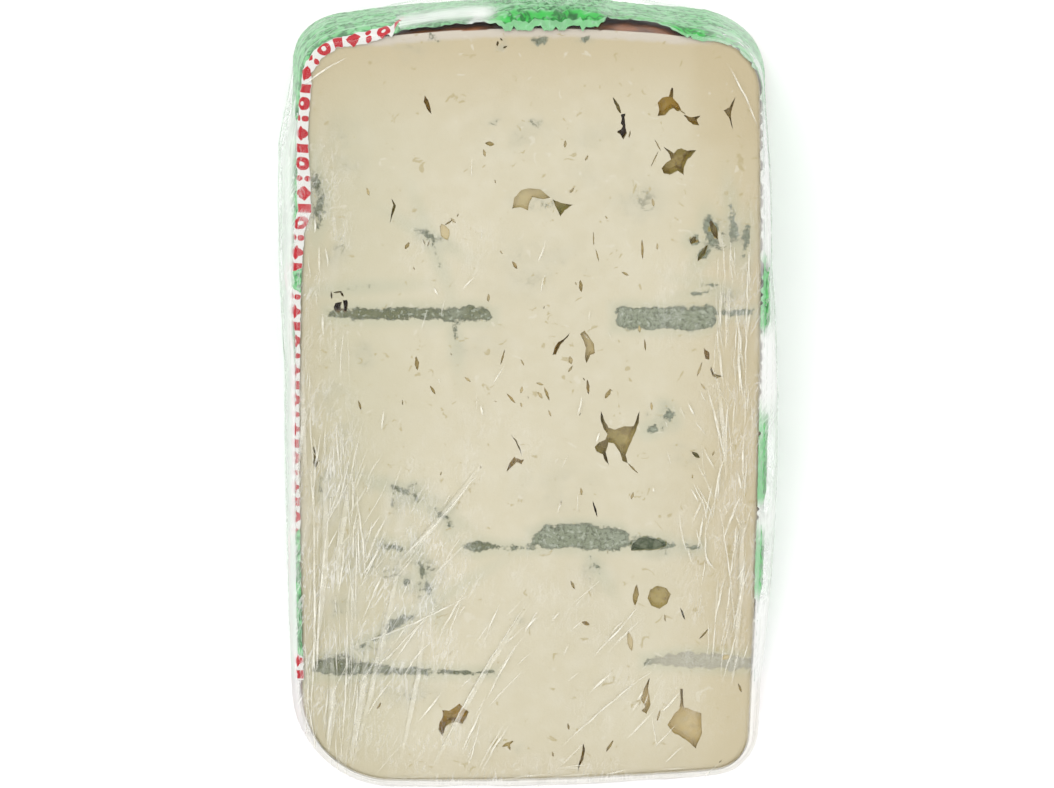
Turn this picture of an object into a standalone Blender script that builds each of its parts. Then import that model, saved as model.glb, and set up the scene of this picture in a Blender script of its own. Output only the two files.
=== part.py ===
"""A wedge of blue-veined gorgonzola in its printed foil and cling film, lying on a cut side.

The wedge is one slice of a half wheel that was cut across. Its big faces are the two cuts, which
meet near the wheel's axis. Its walls are the wheel's flat face on the left (-X), the middle cut
on the right (+X), the round rind at the back (+Y) and the blunt tip at the front (-Y). A cut
face's outline, drawn in the wheel's radial plane, is swept round the axis through the wedge
angle. Metres, +Z up, the lower cut face on Z = 0.
"""

import math

import bmesh
import bpy
from mathutils import Vector

# The wheel and the slice
WHEEL_RADIUS = 0.151
HALF_WHEEL_HEIGHT = 0.087
WEDGE_ANGLE = math.radians(16.5)
AXIS_MISS = 0.004  # the two cuts pass each other by this much at the wheel's axis
TIP_RADIUS = 0.002  # how far from the axis the blunt tip stands
TALLEST = WHEEL_RADIUS * math.sin(WEDGE_ANGLE) + AXIS_MISS

# The world origin, in the outline's own measures: across the wedge and from the axis
ORIGIN_ACROSS = 0.0009
ORIGIN_FROM_AXIS = 0.0765

# The outline of a cut face, anticlockwise from the back left: each corner's place across the
# wedge and from the axis with its radius, then the side that follows it with how far that side
# swells past the straight line and its number of pieces
HALF_WIDTH = HALF_WHEEL_HEIGHT / 2
CORNERS = (
    (-HALF_WIDTH + 0.0030, WHEEL_RADIUS - 0.0022, 0.0075),
    (-HALF_WIDTH + 0.0006, TIP_RADIUS - 0.0002, 0.0175),
    (HALF_WIDTH - 0.0002, TIP_RADIUS + 0.0028, 0.0075),
    (HALF_WIDTH + 0.0009, WHEEL_RADIUS - 0.0016, 0.0105),
)
SIDES = (
    ("left", 0.0012, 14),
    ("tip", 0.0008, 8),
    ("right", 0.0010, 14),
    ("rind", 0.0012, 10),
)
CORNER_PIECES = 6
WALL_PIECES = 8

# A soft cheese settles, so its walls lean out towards the base: metres out for each metre down
LEAN = {"left": 0.075, "tip": 0.150, "right": 0.040, "rind": 0.015}
BELLY = 0.0027  # and swell at half height
KNIFE_EDGE = 0.0008  # bevel where a wall meets a cut face

# Wraps. Each keeps TOUCH_GAP to what lies under it.
TOUCH_GAP = 0.0003
WRAP_THICKNESS = 0.0003
FOIL_IN = TOUCH_GAP
FOIL_OUT = FOIL_IN + WRAP_THICKNESS
FILM_IN = FOIL_OUT + TOUCH_GAP
FILM_OUT = FILM_IN + WRAP_THICKNESS

# The foil stops this far from the axis, and reaches between these shares of a wall's height
FOIL_FROM = 0.022
FOIL_LOWEST = 0.04
FOIL_HIGHEST = 0.965
# Tears in its upper edge at the rind: middle across, half width, depth as a share of the height
TEARS = ((-0.012, 0.010, 0.035), (-0.001, 0.004, 0.060), (0.021, 0.010, 0.150))
# Its ragged edge: depth as a share of the height, waves in each metre, shift
RAGS = ((0.012, 140, 0.0), (0.008, 330, 1.0))

FILM_LIFT = 0.0004  # clearance of the film over the upper cut face
# Where the film stands off the walls: side, middle and half length from the axis, how far out
FILM_SLACK = (
    ("left", 0.128, 0.045, 0.0015),
    ("right", 0.062, 0.040, 0.0018),
    ("rind", 0.150, 0.060, 0.0006),
)

# Gaps between the curds, cut into the upper face: place across the wedge and from the axis,
# depth, and the arms as (direction in degrees, length)
EYES = (
    (0.0177, 0.0725, 0.0055, ((62, 0.0054), (118, 0.0056), (190, 0.0040), (250, 0.0060), (350, 0.0030))),
    (0.0286, 0.1271, 0.0045, ((35, 0.0042), (150, 0.0026), (205, 0.0034), (300, 0.0030))),
    (0.0267, 0.1378, 0.0040, ((80, 0.0038), (200, 0.0030), (320, 0.0066))),
    (0.0311, 0.0147, 0.0050, ((20, 0.0042), (95, 0.0062), (215, 0.0046), (300, 0.0058))),
    (-0.0139, 0.0157, 0.0045, ((60, 0.0040), (150, 0.0030), (245, 0.0044), (350, 0.0030))),
    (0.0257, 0.0407, 0.0040, ((50, 0.0028), (140, 0.0026), (230, 0.0028), (320, 0.0026))),
    (0.0184, 0.1353, 0.0035, ((105, 0.0050), (190, 0.0016), (275, 0.0042))),
    (0.0344, 0.0880, 0.0035, ((95, 0.0040), (240, 0.0030), (300, 0.0042))),
)
EYE_WAIST = 0.0016  # how far an eye reaches between two of its arms
EYE_SHAPE = ((-0.002, 1.0), (0.0, 1.0), (0.6, 0.85), (1.0, 0.55))  # depth share, width share


def unit(across, from_axis):
    length = math.hypot(across, from_axis)
    return across / length, from_axis / length


def corner_arc(before, corner, after, radius):
    """Points of a fillet at a corner between two straight sides."""
    to_before = unit(before[0] - corner[0], before[1] - corner[1])
    to_after = unit(after[0] - corner[0], after[1] - corner[1])
    opening = math.acos(to_before[0] * to_after[0] + to_before[1] * to_after[1])
    inward = unit(to_before[0] + to_after[0], to_before[1] + to_after[1])
    reach = radius / math.sin(opening / 2)
    centre = (corner[0] + inward[0] * reach, corner[1] + inward[1] * reach)
    run = radius / math.tan(opening / 2)
    start = math.atan2(
        corner[1] + to_before[1] * run - centre[1],
        corner[0] + to_before[0] * run - centre[0],
    )
    turns = [start + (math.pi - opening) * i / CORNER_PIECES for i in range(CORNER_PIECES + 1)]
    return [(centre[0] + radius * math.cos(t), centre[1] + radius * math.sin(t)) for t in turns]


def swelling_side(start, end, swell, pieces):
    """The points between two corners, on a shallow outward curve."""
    out = unit(end[1] - start[1], start[0] - end[0])
    points = []
    for step in range(1, pieces):
        along = step / pieces
        bulge = swell * 4 * along * (1 - along)
        points.append(
            (
                start[0] + (end[0] - start[0]) * along + out[0] * bulge,
                start[1] + (end[1] - start[1]) * along + out[1] * bulge,
            )
        )
    return points


def outline(grow):
    """A cut face's outline, grown outwards, as (point, outward direction) pairs."""
    corners = [
        (
            across + math.copysign(grow, across),
            from_axis + math.copysign(grow, from_axis - WHEEL_RADIUS / 2),
            radius + grow,
        )
        for across, from_axis, radius in CORNERS
    ]
    count = len(corners)
    arcs = [
        corner_arc(corners[i - 1], corner, corners[(i + 1) % count], corner[2])
        for i, corner in enumerate(corners)
    ]
    points = []
    for i, (_, swell, pieces) in enumerate(SIDES):
        points += arcs[i]
        points += swelling_side(arcs[i][-1], arcs[(i + 1) % count][0], swell, pieces)
    outs = []
    for i in range(len(points)):
        before, after = points[i - 1], points[(i + 1) % len(points)]
        outs.append(unit(after[1] - before[1], before[0] - after[0]))
    return list(zip(points, outs))


def facing(out):
    """How squarely an outward direction faces each side of the wedge."""
    return {
        "left": max(-out[0], 0.0),
        "right": max(out[0], 0.0),
        "rind": max(out[1], 0.0),
        "tip": max(-out[1], 0.0),
    }


def world(across, from_axis, height):
    return Vector((across - ORIGIN_ACROSS, from_axis - ORIGIN_FROM_AXIS, height))


def wall_point(point, out, share, lift=0.0, slack=0.0):
    """A point on a wall: share 0 is the base, on Z = 0, and share 1 is the upper cut face."""
    across, from_axis = point
    turned = WEDGE_ANGLE * share
    top = from_axis * math.sin(WEDGE_ANGLE) + AXIS_MISS
    height = from_axis * math.sin(turned) + AXIS_MISS * share
    lean = sum(LEAN[side] * part**2 for side, part in facing(out).items())
    away = lean * (top - height) + BELLY * math.sin(math.pi * share) * top / WHEEL_RADIUS + slack
    return world(
        across + out[0] * away,
        from_axis * math.cos(turned) + out[1] * away,
        max(0.0, height + lift * share / math.cos(WEDGE_ANGLE)),
    )


def film_slack(point, out, share):
    """How far the film stands off the foil: nothing at the upper face, most on the walls."""
    faces = facing(out)
    total = sum(
        most * faces[side] * max(0.0, 1 - ((point[1] - middle) / reach) ** 2)
        for side, middle, reach, most in FILM_SLACK
    )
    return total * math.sqrt(math.sin(math.pi * (0.15 + 0.85 * share)) + 1e-9)


def join_rings(bm, low, high):
    for i in range(len(low)):
        j = (i + 1) % len(low)
        bm.faces.new((low[i], low[j], high[j], high[i]))


def material(name, colour, roughness, metallic=0.0, alpha=1.0):
    made = bpy.data.materials.new(name)
    made.use_nodes = True
    shader = made.node_tree.nodes["Principled BSDF"]
    shader.inputs["Base Color"].default_value = (*colour, 1.0)
    shader.inputs["Roughness"].default_value = roughness
    shader.inputs["Metallic"].default_value = metallic
    shader.inputs["Alpha"].default_value = alpha
    return made


def finish(bm, name, surface):
    """Makes a bmesh into a named object, smooth where its surface is round."""
    bmesh.ops.recalc_face_normals(bm, faces=bm.faces)
    mesh = bpy.data.meshes.new(name)
    bm.to_mesh(mesh)
    bm.free()
    mesh.shade_smooth()
    mesh.set_sharp_from_angle(angle=math.radians(35))
    mesh.materials.append(surface)
    made = bpy.data.objects.new(name, mesh)
    bpy.context.scene.collection.objects.link(made)
    return made


def upper_face_point(across, from_axis, depth):
    """A point that far below the upper cut face, or above it if depth is negative."""
    return world(
        across,
        from_axis * math.cos(WEDGE_ANGLE) + depth * math.sin(WEDGE_ANGLE),
        from_axis * math.sin(WEDGE_ANGLE) + AXIS_MISS - depth * math.cos(WEDGE_ANGLE),
    )


def eye_mouth(arms):
    """The outline of a gap between round curds: pointed arms with hollow sides between them."""
    points = []
    for i, (angle, length) in enumerate(arms):
        next_angle, next_length = arms[(i + 1) % len(arms)]
        spread = (next_angle - angle) % 360
        for direction, reach in (
            (angle, length),
            (angle + spread * 0.16, length * 0.45 + EYE_WAIST * 0.35),
            (angle + spread * 0.5, EYE_WAIST),
            (angle + spread * 0.84, next_length * 0.45 + EYE_WAIST * 0.35),
        ):
            turned = math.radians(direction)
            points.append((reach * math.cos(turned), reach * math.sin(turned)))
    return points


def eye_cutter():
    """All the gaps in the upper face, as one cutter that narrows downwards."""
    bm = bmesh.new()
    for across, from_axis, depth, arms in EYES:
        levels = []
        for depth_share, width_share in EYE_SHAPE:
            down = depth_share if depth_share < 0 else depth_share * depth
            levels.append(
                [
                    bm.verts.new(
                        upper_face_point(across + x * width_share, from_axis + r * width_share, down)
                    )
                    for x, r in eye_mouth(arms)
                ]
            )
        bm.faces.new(levels[0])
        bm.faces.new(levels[-1])
        for high, low in zip(levels, levels[1:]):
            join_rings(bm, low, high)
    cutter = finish(bm, "eye_cutter", CHEESE_PASTE)
    cutter.hide_render = True
    cutter.display_type = "WIRE"
    return cutter


def build_cheese():
    """The paste with its rind: one solid from the lower cut face to the upper one."""
    bm = bmesh.new()
    rings = []
    for level in range(WALL_PIECES + 1):
        share = level / WALL_PIECES
        rings.append([bm.verts.new(wall_point(point, out, share)) for point, out in outline(0.0)])
    for low, high in zip(rings, rings[1:]):
        join_rings(bm, low, high)
    lower_cut = bm.faces.new(rings[0])
    upper_cut = bm.faces.new(rings[-1])
    rims = list(lower_cut.edges) + list(upper_cut.edges)
    bmesh.ops.bevel(
        bm, geom=rims, offset=KNIFE_EDGE, affect="EDGES", segments=2, profile=0.5, material=-1
    )
    cheese = finish(bm, "cheese", CHEESE_PASTE)
    eyes = cheese.modifiers.new("eyes", "BOOLEAN")
    eyes.operation = "DIFFERENCE"
    eyes.object = eye_cutter()
    return cheese


def foil_top(across, out):
    """The foil's ragged upper edge, as a share of the wall's height."""
    torn = sum(abs(depth * math.sin(math.tau * waves * across + shift)) for depth, waves, shift in RAGS)
    if out[1] > 0.5:
        for middle, reach, depth in TEARS:
            torn += depth * max(0.0, 1 - ((across - middle) / reach) ** 2)
    return FOIL_HIGHEST - torn


def foil_skin(bm, grow):
    """One side of the foil as columns of vertices, from the tip end of the right wall round."""
    ring = outline(grow)
    tip_arc_end = CORNER_PIECES * 3 + SIDES[0][2] + SIDES[1][2]
    ring = ring[tip_arc_end:] + ring[:tip_arc_end]
    columns = []
    for point, out in ring:
        if point[1] < FOIL_FROM:
            continue
        top = foil_top(point[0], out)
        shares = [FOIL_LOWEST + (top - FOIL_LOWEST) * level / WALL_PIECES for level in range(WALL_PIECES + 1)]
        columns.append([bm.verts.new(wall_point(point, out, share)) for share in shares])
    return columns


def build_foil():
    """The printed foil: a band along the left wall, round the rind and back along the right."""
    bm = bmesh.new()
    inner = foil_skin(bm, FOIL_IN)
    outer = foil_skin(bm, FOIL_OUT)
    for skin in (inner, outer):
        for here, there in zip(skin, skin[1:]):
            for level in range(WALL_PIECES):
                bm.faces.new((here[level], there[level], there[level + 1], here[level + 1]))
    for end in (0, -1):
        for level in range(WALL_PIECES):
            bm.faces.new(
                (inner[end][level], outer[end][level], outer[end][level + 1], inner[end][level + 1])
            )
    for rim in (0, -1):
        for i in range(len(inner) - 1):
            bm.faces.new((inner[i][rim], inner[i + 1][rim], outer[i + 1][rim], outer[i][rim]))
    return finish(bm, "foil", PRINTED_FOIL)


def film_skin(bm, grow, lift):
    """One side of the film: its rings up the walls, closed over the upper face."""
    rings = []
    for level in range(WALL_PIECES + 1):
        share = level / WALL_PIECES
        rings.append(
            [
                bm.verts.new(wall_point(point, out, share, lift, film_slack(point, out, share)))
                for point, out in outline(grow)
            ]
        )
    for low, high in zip(rings, rings[1:]):
        join_rings(bm, low, high)
    bm.faces.new(rings[-1])
    return rings


def build_film():
    """The cling film: a tight skin over the upper face and the walls, open under the wedge."""
    bm = bmesh.new()
    inner = film_skin(bm, FILM_IN, FILM_LIFT)
    outer = film_skin(bm, FILM_OUT, FILM_LIFT + WRAP_THICKNESS)
    join_rings(bm, inner[0], outer[0])
    return finish(bm, "film", CLING_FILM)


for leftover in list(bpy.data.objects):
    bpy.data.objects.remove(leftover)

CHEESE_PASTE = material("cheese_paste", (0.72, 0.65, 0.47), 0.45)
PRINTED_FOIL = material("printed_foil", (0.12, 0.52, 0.22), 0.35, metallic=0.3)
CLING_FILM = material("cling_film", (0.95, 0.97, 0.97), 0.10, alpha=0.2)

build_cheese()
build_foil()
build_film()
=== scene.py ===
import math
import random

import bmesh
import bpy
import numpy as np
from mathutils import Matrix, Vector, noise


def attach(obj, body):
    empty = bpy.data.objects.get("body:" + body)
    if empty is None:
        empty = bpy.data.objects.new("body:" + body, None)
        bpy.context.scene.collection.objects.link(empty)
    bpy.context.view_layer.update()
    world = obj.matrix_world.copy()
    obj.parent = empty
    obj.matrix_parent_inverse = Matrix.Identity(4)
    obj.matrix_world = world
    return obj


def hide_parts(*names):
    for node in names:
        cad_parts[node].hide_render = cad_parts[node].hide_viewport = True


# A gorgonzola wedge in printed foil and cling film, lying on one cut side. Metres, +Z up.
# Places on the cut face are given as (across, from the wheel's axis), in millimetres.

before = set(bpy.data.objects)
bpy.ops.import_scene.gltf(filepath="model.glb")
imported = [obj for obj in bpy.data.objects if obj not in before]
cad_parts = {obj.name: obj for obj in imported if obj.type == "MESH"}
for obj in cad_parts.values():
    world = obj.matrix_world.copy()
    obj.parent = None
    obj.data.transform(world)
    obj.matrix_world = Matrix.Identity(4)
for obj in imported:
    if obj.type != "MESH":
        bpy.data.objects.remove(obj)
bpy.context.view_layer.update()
bpy.context.scene.view_settings.view_transform = "Standard"
mm = 0.001

# ---- the wedge's own shape, as the frame has it

wedge = dict(
    radius=0.151,
    angle=math.radians(16.5),
    axisMiss=0.004,
    originAcross=0.0009,
    originFromAxis=0.0765,
    # across, from axis, corner radius; anticlockwise from the back left
    corners=((-0.0405, 0.1488, 0.0075), (-0.0429, 0.0018, 0.0175), (0.0433, 0.0048, 0.0075), (0.0444, 0.1494, 0.0105)),
    swells=(0.0012, 0.0008, 0.0010, 0.0022),  # left, tip, right, rind
    lean=dict(left=0.075, tip=0.150, right=0.040, rind=0.015),
    belly=0.0027,
    flatBack=0.8,  # how much less the right wall swells towards the rind
    cornerPieces=28,
    sidePieces=48,
)
cosA, sinA = math.cos(wedge["angle"]), math.sin(wedge["angle"])


def unit(v):
    return v / np.linalg.norm(v)


def cornerArc(before, corner, after, radius):
    toBefore, toAfter = unit(before - corner), unit(after - corner)
    opening = math.acos(float(toBefore @ toAfter))
    centre = corner + unit(toBefore + toAfter) * radius / math.sin(opening / 2)
    first = corner + toBefore * radius / math.tan(opening / 2) - centre
    turns = math.atan2(first[1], first[0]) + np.linspace(0, math.pi - opening, wedge["cornerPieces"] + 1)
    return centre + radius * np.stack([np.cos(turns), np.sin(turns)], 1)


def outline(grow=0.0):
    # the cut face's closed outline: points, outward directions, and where each corner's middle is
    corners = [
        (np.array([a + math.copysign(grow, a), f + math.copysign(grow, f - wedge["radius"] / 2)]), r + grow)
        for a, f, r in wedge["corners"]
    ]
    arcs = [
        cornerArc(corners[i - 1][0], corners[i][0], corners[(i + 1) % 4][0], corners[i][1]) for i in range(4)
    ]
    points, middles = [], []
    for i, swell in enumerate(wedge["swells"]):
        middles.append(len(points) + wedge["cornerPieces"] // 2)
        points.extend(arcs[i])
        start, end = arcs[i][-1], arcs[(i + 1) % 4][0]
        out = unit(np.array([end[1] - start[1], start[0] - end[0]]))
        for along in np.linspace(0, 1, wedge["sidePieces"] + 1)[1:-1]:
            points.append(start + (end - start) * along + out * swell * 4 * along * (1 - along))
    points = np.array(points)
    return points, outwards(points), middles


def outwards(ring):
    # outward directions of a closed anticlockwise ring
    ahead, behind = np.roll(ring, -1, 0), np.roll(ring, 1, 0)
    outs = np.stack([ahead[:, 1] - behind[:, 1], behind[:, 0] - ahead[:, 0]], 1)
    return outs / np.linalg.norm(outs, axis=1, keepdims=True)


def lengthsAlong(line):
    return np.concatenate([[0], np.cumsum(np.linalg.norm(np.diff(line, axis=0), axis=1))])


def sampled(line, share):
    run = lengthsAlong(line)
    return np.stack([np.interp(share * run[-1], run, line[:, k]) for k in range(line.shape[1])], -1)


def facePlaces(s, t, grow=0.0):
    # fills the outline from its four sides: s runs left to right, t from tip to rind
    points, _, (bl, tl, tr, br) = outline(grow)
    closed = np.concatenate([points, points])
    left, tip = closed[bl : tl + 1][::-1], closed[tl : tr + 1]
    right, rind = closed[tr : br + 1], closed[br : len(points) + bl + 1][::-1]
    s1, t1 = s[:, None], t[:, None]
    flat = (1 - t1) * sampled(tip, s) + t1 * sampled(rind, s) + (1 - s1) * sampled(left, t) + s1 * sampled(right, t)
    ends = (1 - s1) * ((1 - t1) * tip[0] + t1 * rind[0]) + s1 * ((1 - t1) * tip[-1] + t1 * rind[-1])
    return flat - ends


def onFace(across, fromAxis, up=0.0):
    # a place on the upper cut face, or above it, in the frame's metres
    return np.stack(
        [
            across - wedge["originAcross"] + 0 * fromAxis,
            fromAxis * cosA - up * sinA - wedge["originFromAxis"] + 0 * across,
            fromAxis * sinA + wedge["axisMiss"] + up * cosA + 0 * across,
        ],
        -1,
    )


def faceOf(world):
    # the other way round: across, from axis and height over the face
    y, z = world[:, 1] + wedge["originFromAxis"], world[:, 2] - wedge["axisMiss"]
    return world[:, 0] + wedge["originAcross"], y * cosA + z * sinA, z * cosA - y * sinA


def wallPoint(points, outs, share, away=0.0):
    # share 0 is the base, 1 the upper cut face; away is extra distance off the wall
    turned = wedge["angle"] * share
    top = points[:, 1] * sinA + wedge["axisMiss"]
    height = points[:, 1] * np.sin(turned) + wedge["axisMiss"] * share
    lean = sum(
        wedge["lean"][side] * np.maximum(part, 0) ** 2
        for side, part in (("left", -outs[:, 0]), ("right", outs[:, 0]), ("rind", outs[:, 1]), ("tip", -outs[:, 1]))
    )
    flatter = np.clip((points[:, 1] - 0.095) / 0.030, 0, 1) * np.clip(outs[:, 0] * 1.6, 0, 1) * wedge["flatBack"]
    belly = wedge["belly"] * (1 - flatter)
    off = lean * (top - height) + belly * np.sin(np.pi * share) * top / wedge["radius"] + away
    return np.stack(
        [
            points[:, 0] + outs[:, 0] * off - wedge["originAcross"],
            points[:, 1] * np.cos(turned) + outs[:, 1] * off - wedge["originFromAxis"],
            np.maximum(height, 0),
        ],
        -1,
    )


def insideBy(across, fromAxis, ring):
    # how far inside a closed ring of points each place is; negative outside
    nearest = np.full(len(across), 1e9)
    crossings = np.zeros(len(across), int)
    for (ax, ay), (bx, by) in zip(ring, np.roll(ring, -1, 0)):
        ex, ey = bx - ax, by - ay
        dx, dy = across - ax, fromAxis - ay
        along = np.clip((dx * ex + dy * ey) / (ex * ex + ey * ey + 1e-12), 0, 1)
        nearest = np.minimum(nearest, np.hypot(dx - ex * along, dy - ey * along))
        if ay != by:
            straddles = (ay > fromAxis) != (by > fromAxis)
            crossings += straddles & (across < ax + (fromAxis - ay) * ex / ey)
    return np.where(crossings % 2 == 1, nearest, -nearest)


def bumps(places, size, seed=0.0):
    # smooth unevenness between -1 and 1 with bumps of about that size
    shift = Vector((seed, seed * 1.7, -seed))
    return np.array([noise.noise(Vector(p) / size + shift) for p in places])


def coordinates(mesh):
    flat = np.empty(len(mesh.vertices) * 3)
    mesh.vertices.foreach_get("co", flat)
    return flat.reshape(-1, 3)


def setAttribute(mesh, name, values):
    made = mesh.attributes.new(name, "FLOAT", "POINT")
    made.data.foreach_set("value", np.asarray(values, np.float32))


def newObject(name, mesh, *materials):
    for material in materials:
        mesh.materials.append(material)
    made = bpy.data.objects.new(name, mesh)
    bpy.context.scene.collection.objects.link(made)
    return made


def meshFrom(bm, name, smooth=True):
    for face in bm.faces:
        face.smooth = smooth
    made = bpy.data.meshes.new(name)
    bm.to_mesh(made)
    bm.free()
    return made


# ---- material helpers


def newMaterial(name):
    made = bpy.data.materials.new(name)
    made.use_nodes = True
    tree = made.node_tree
    return made, tree, tree.nodes["Principled BSDF"]


def fill(tree, socket, value):
    if isinstance(value, bpy.types.NodeSocket):
        tree.links.new(value, socket)
    else:
        socket.default_value = value


def node(tree, kind, inputs=None, output=0, **settings):
    made = tree.nodes.new("ShaderNode" + kind)
    for key, value in settings.items():
        setattr(made, key, value)
    for key, value in (inputs or {}).items():
        fill(tree, made.inputs[key], value)
    return made.outputs[output]


def maths(tree, operation, a, b=0.0, clamp=False):
    return node(tree, "Math", {0: a, 1: b}, operation=operation, use_clamp=clamp)


def between(tree, value, low, high, start=0.0, end=1.0):
    # value below low gives start, above high gives end, smooth between
    sizes = {"Value": value, "From Min": low, "From Max": high, "To Min": start, "To Max": end}
    return node(tree, "MapRange", sizes, interpolation_type="SMOOTHSTEP")


def mixed(tree, share, a, b, blend="MIX"):
    made = tree.nodes.new("ShaderNodeMix")
    made.data_type = "RGBA"
    made.blend_type = blend
    for socket, value in ((made.inputs[0], share), (made.inputs[6], a), (made.inputs[7], b)):
        fill(tree, socket, value)
    return made.outputs[2]


def attribute(tree, name):
    return node(tree, "Attribute", output=2, attribute_name=name)


def grain(tree, coords, scale, detail=3.0, roughness=0.55, distortion=0.0):
    sizes = {"Vector": coords, "Scale": scale, "Detail": detail, "Roughness": roughness, "Distortion": distortion}
    return node(tree, "TexNoise", sizes)


underLight = 0.69  # how much of a colour's brightness its paint has, the studio's light doing the rest


def srgb(r, g, b):
    # the paint for a colour that is to look like this, 0 to 255, in the studio's light
    return tuple(((c / 255 + 0.055) / 1.055) ** 2.4 * underLight for c in (r, g, b)) + (1.0,)


# ---- cheese: its body, with the gaps between the curds cut out of the upper face

cheese = dict(
    acrossCells=156,
    alongCells=262,
    edgeRows=(0.0, 0.0018, 0.0045, 0.0090),
    edgeRound=0.0009,
    edgeDrop=0.00035,
    waves=0.00016,
    wallLevels=(0.985, 0.96, 0.93, 0.89, 0.84, 0.78, 0.71, 0.63, 0.55, 0.47, 0.39, 0.31, 0.23, 0.15, 0.08, 0.03, 0.0),
    crust=0.00040,
)

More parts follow.
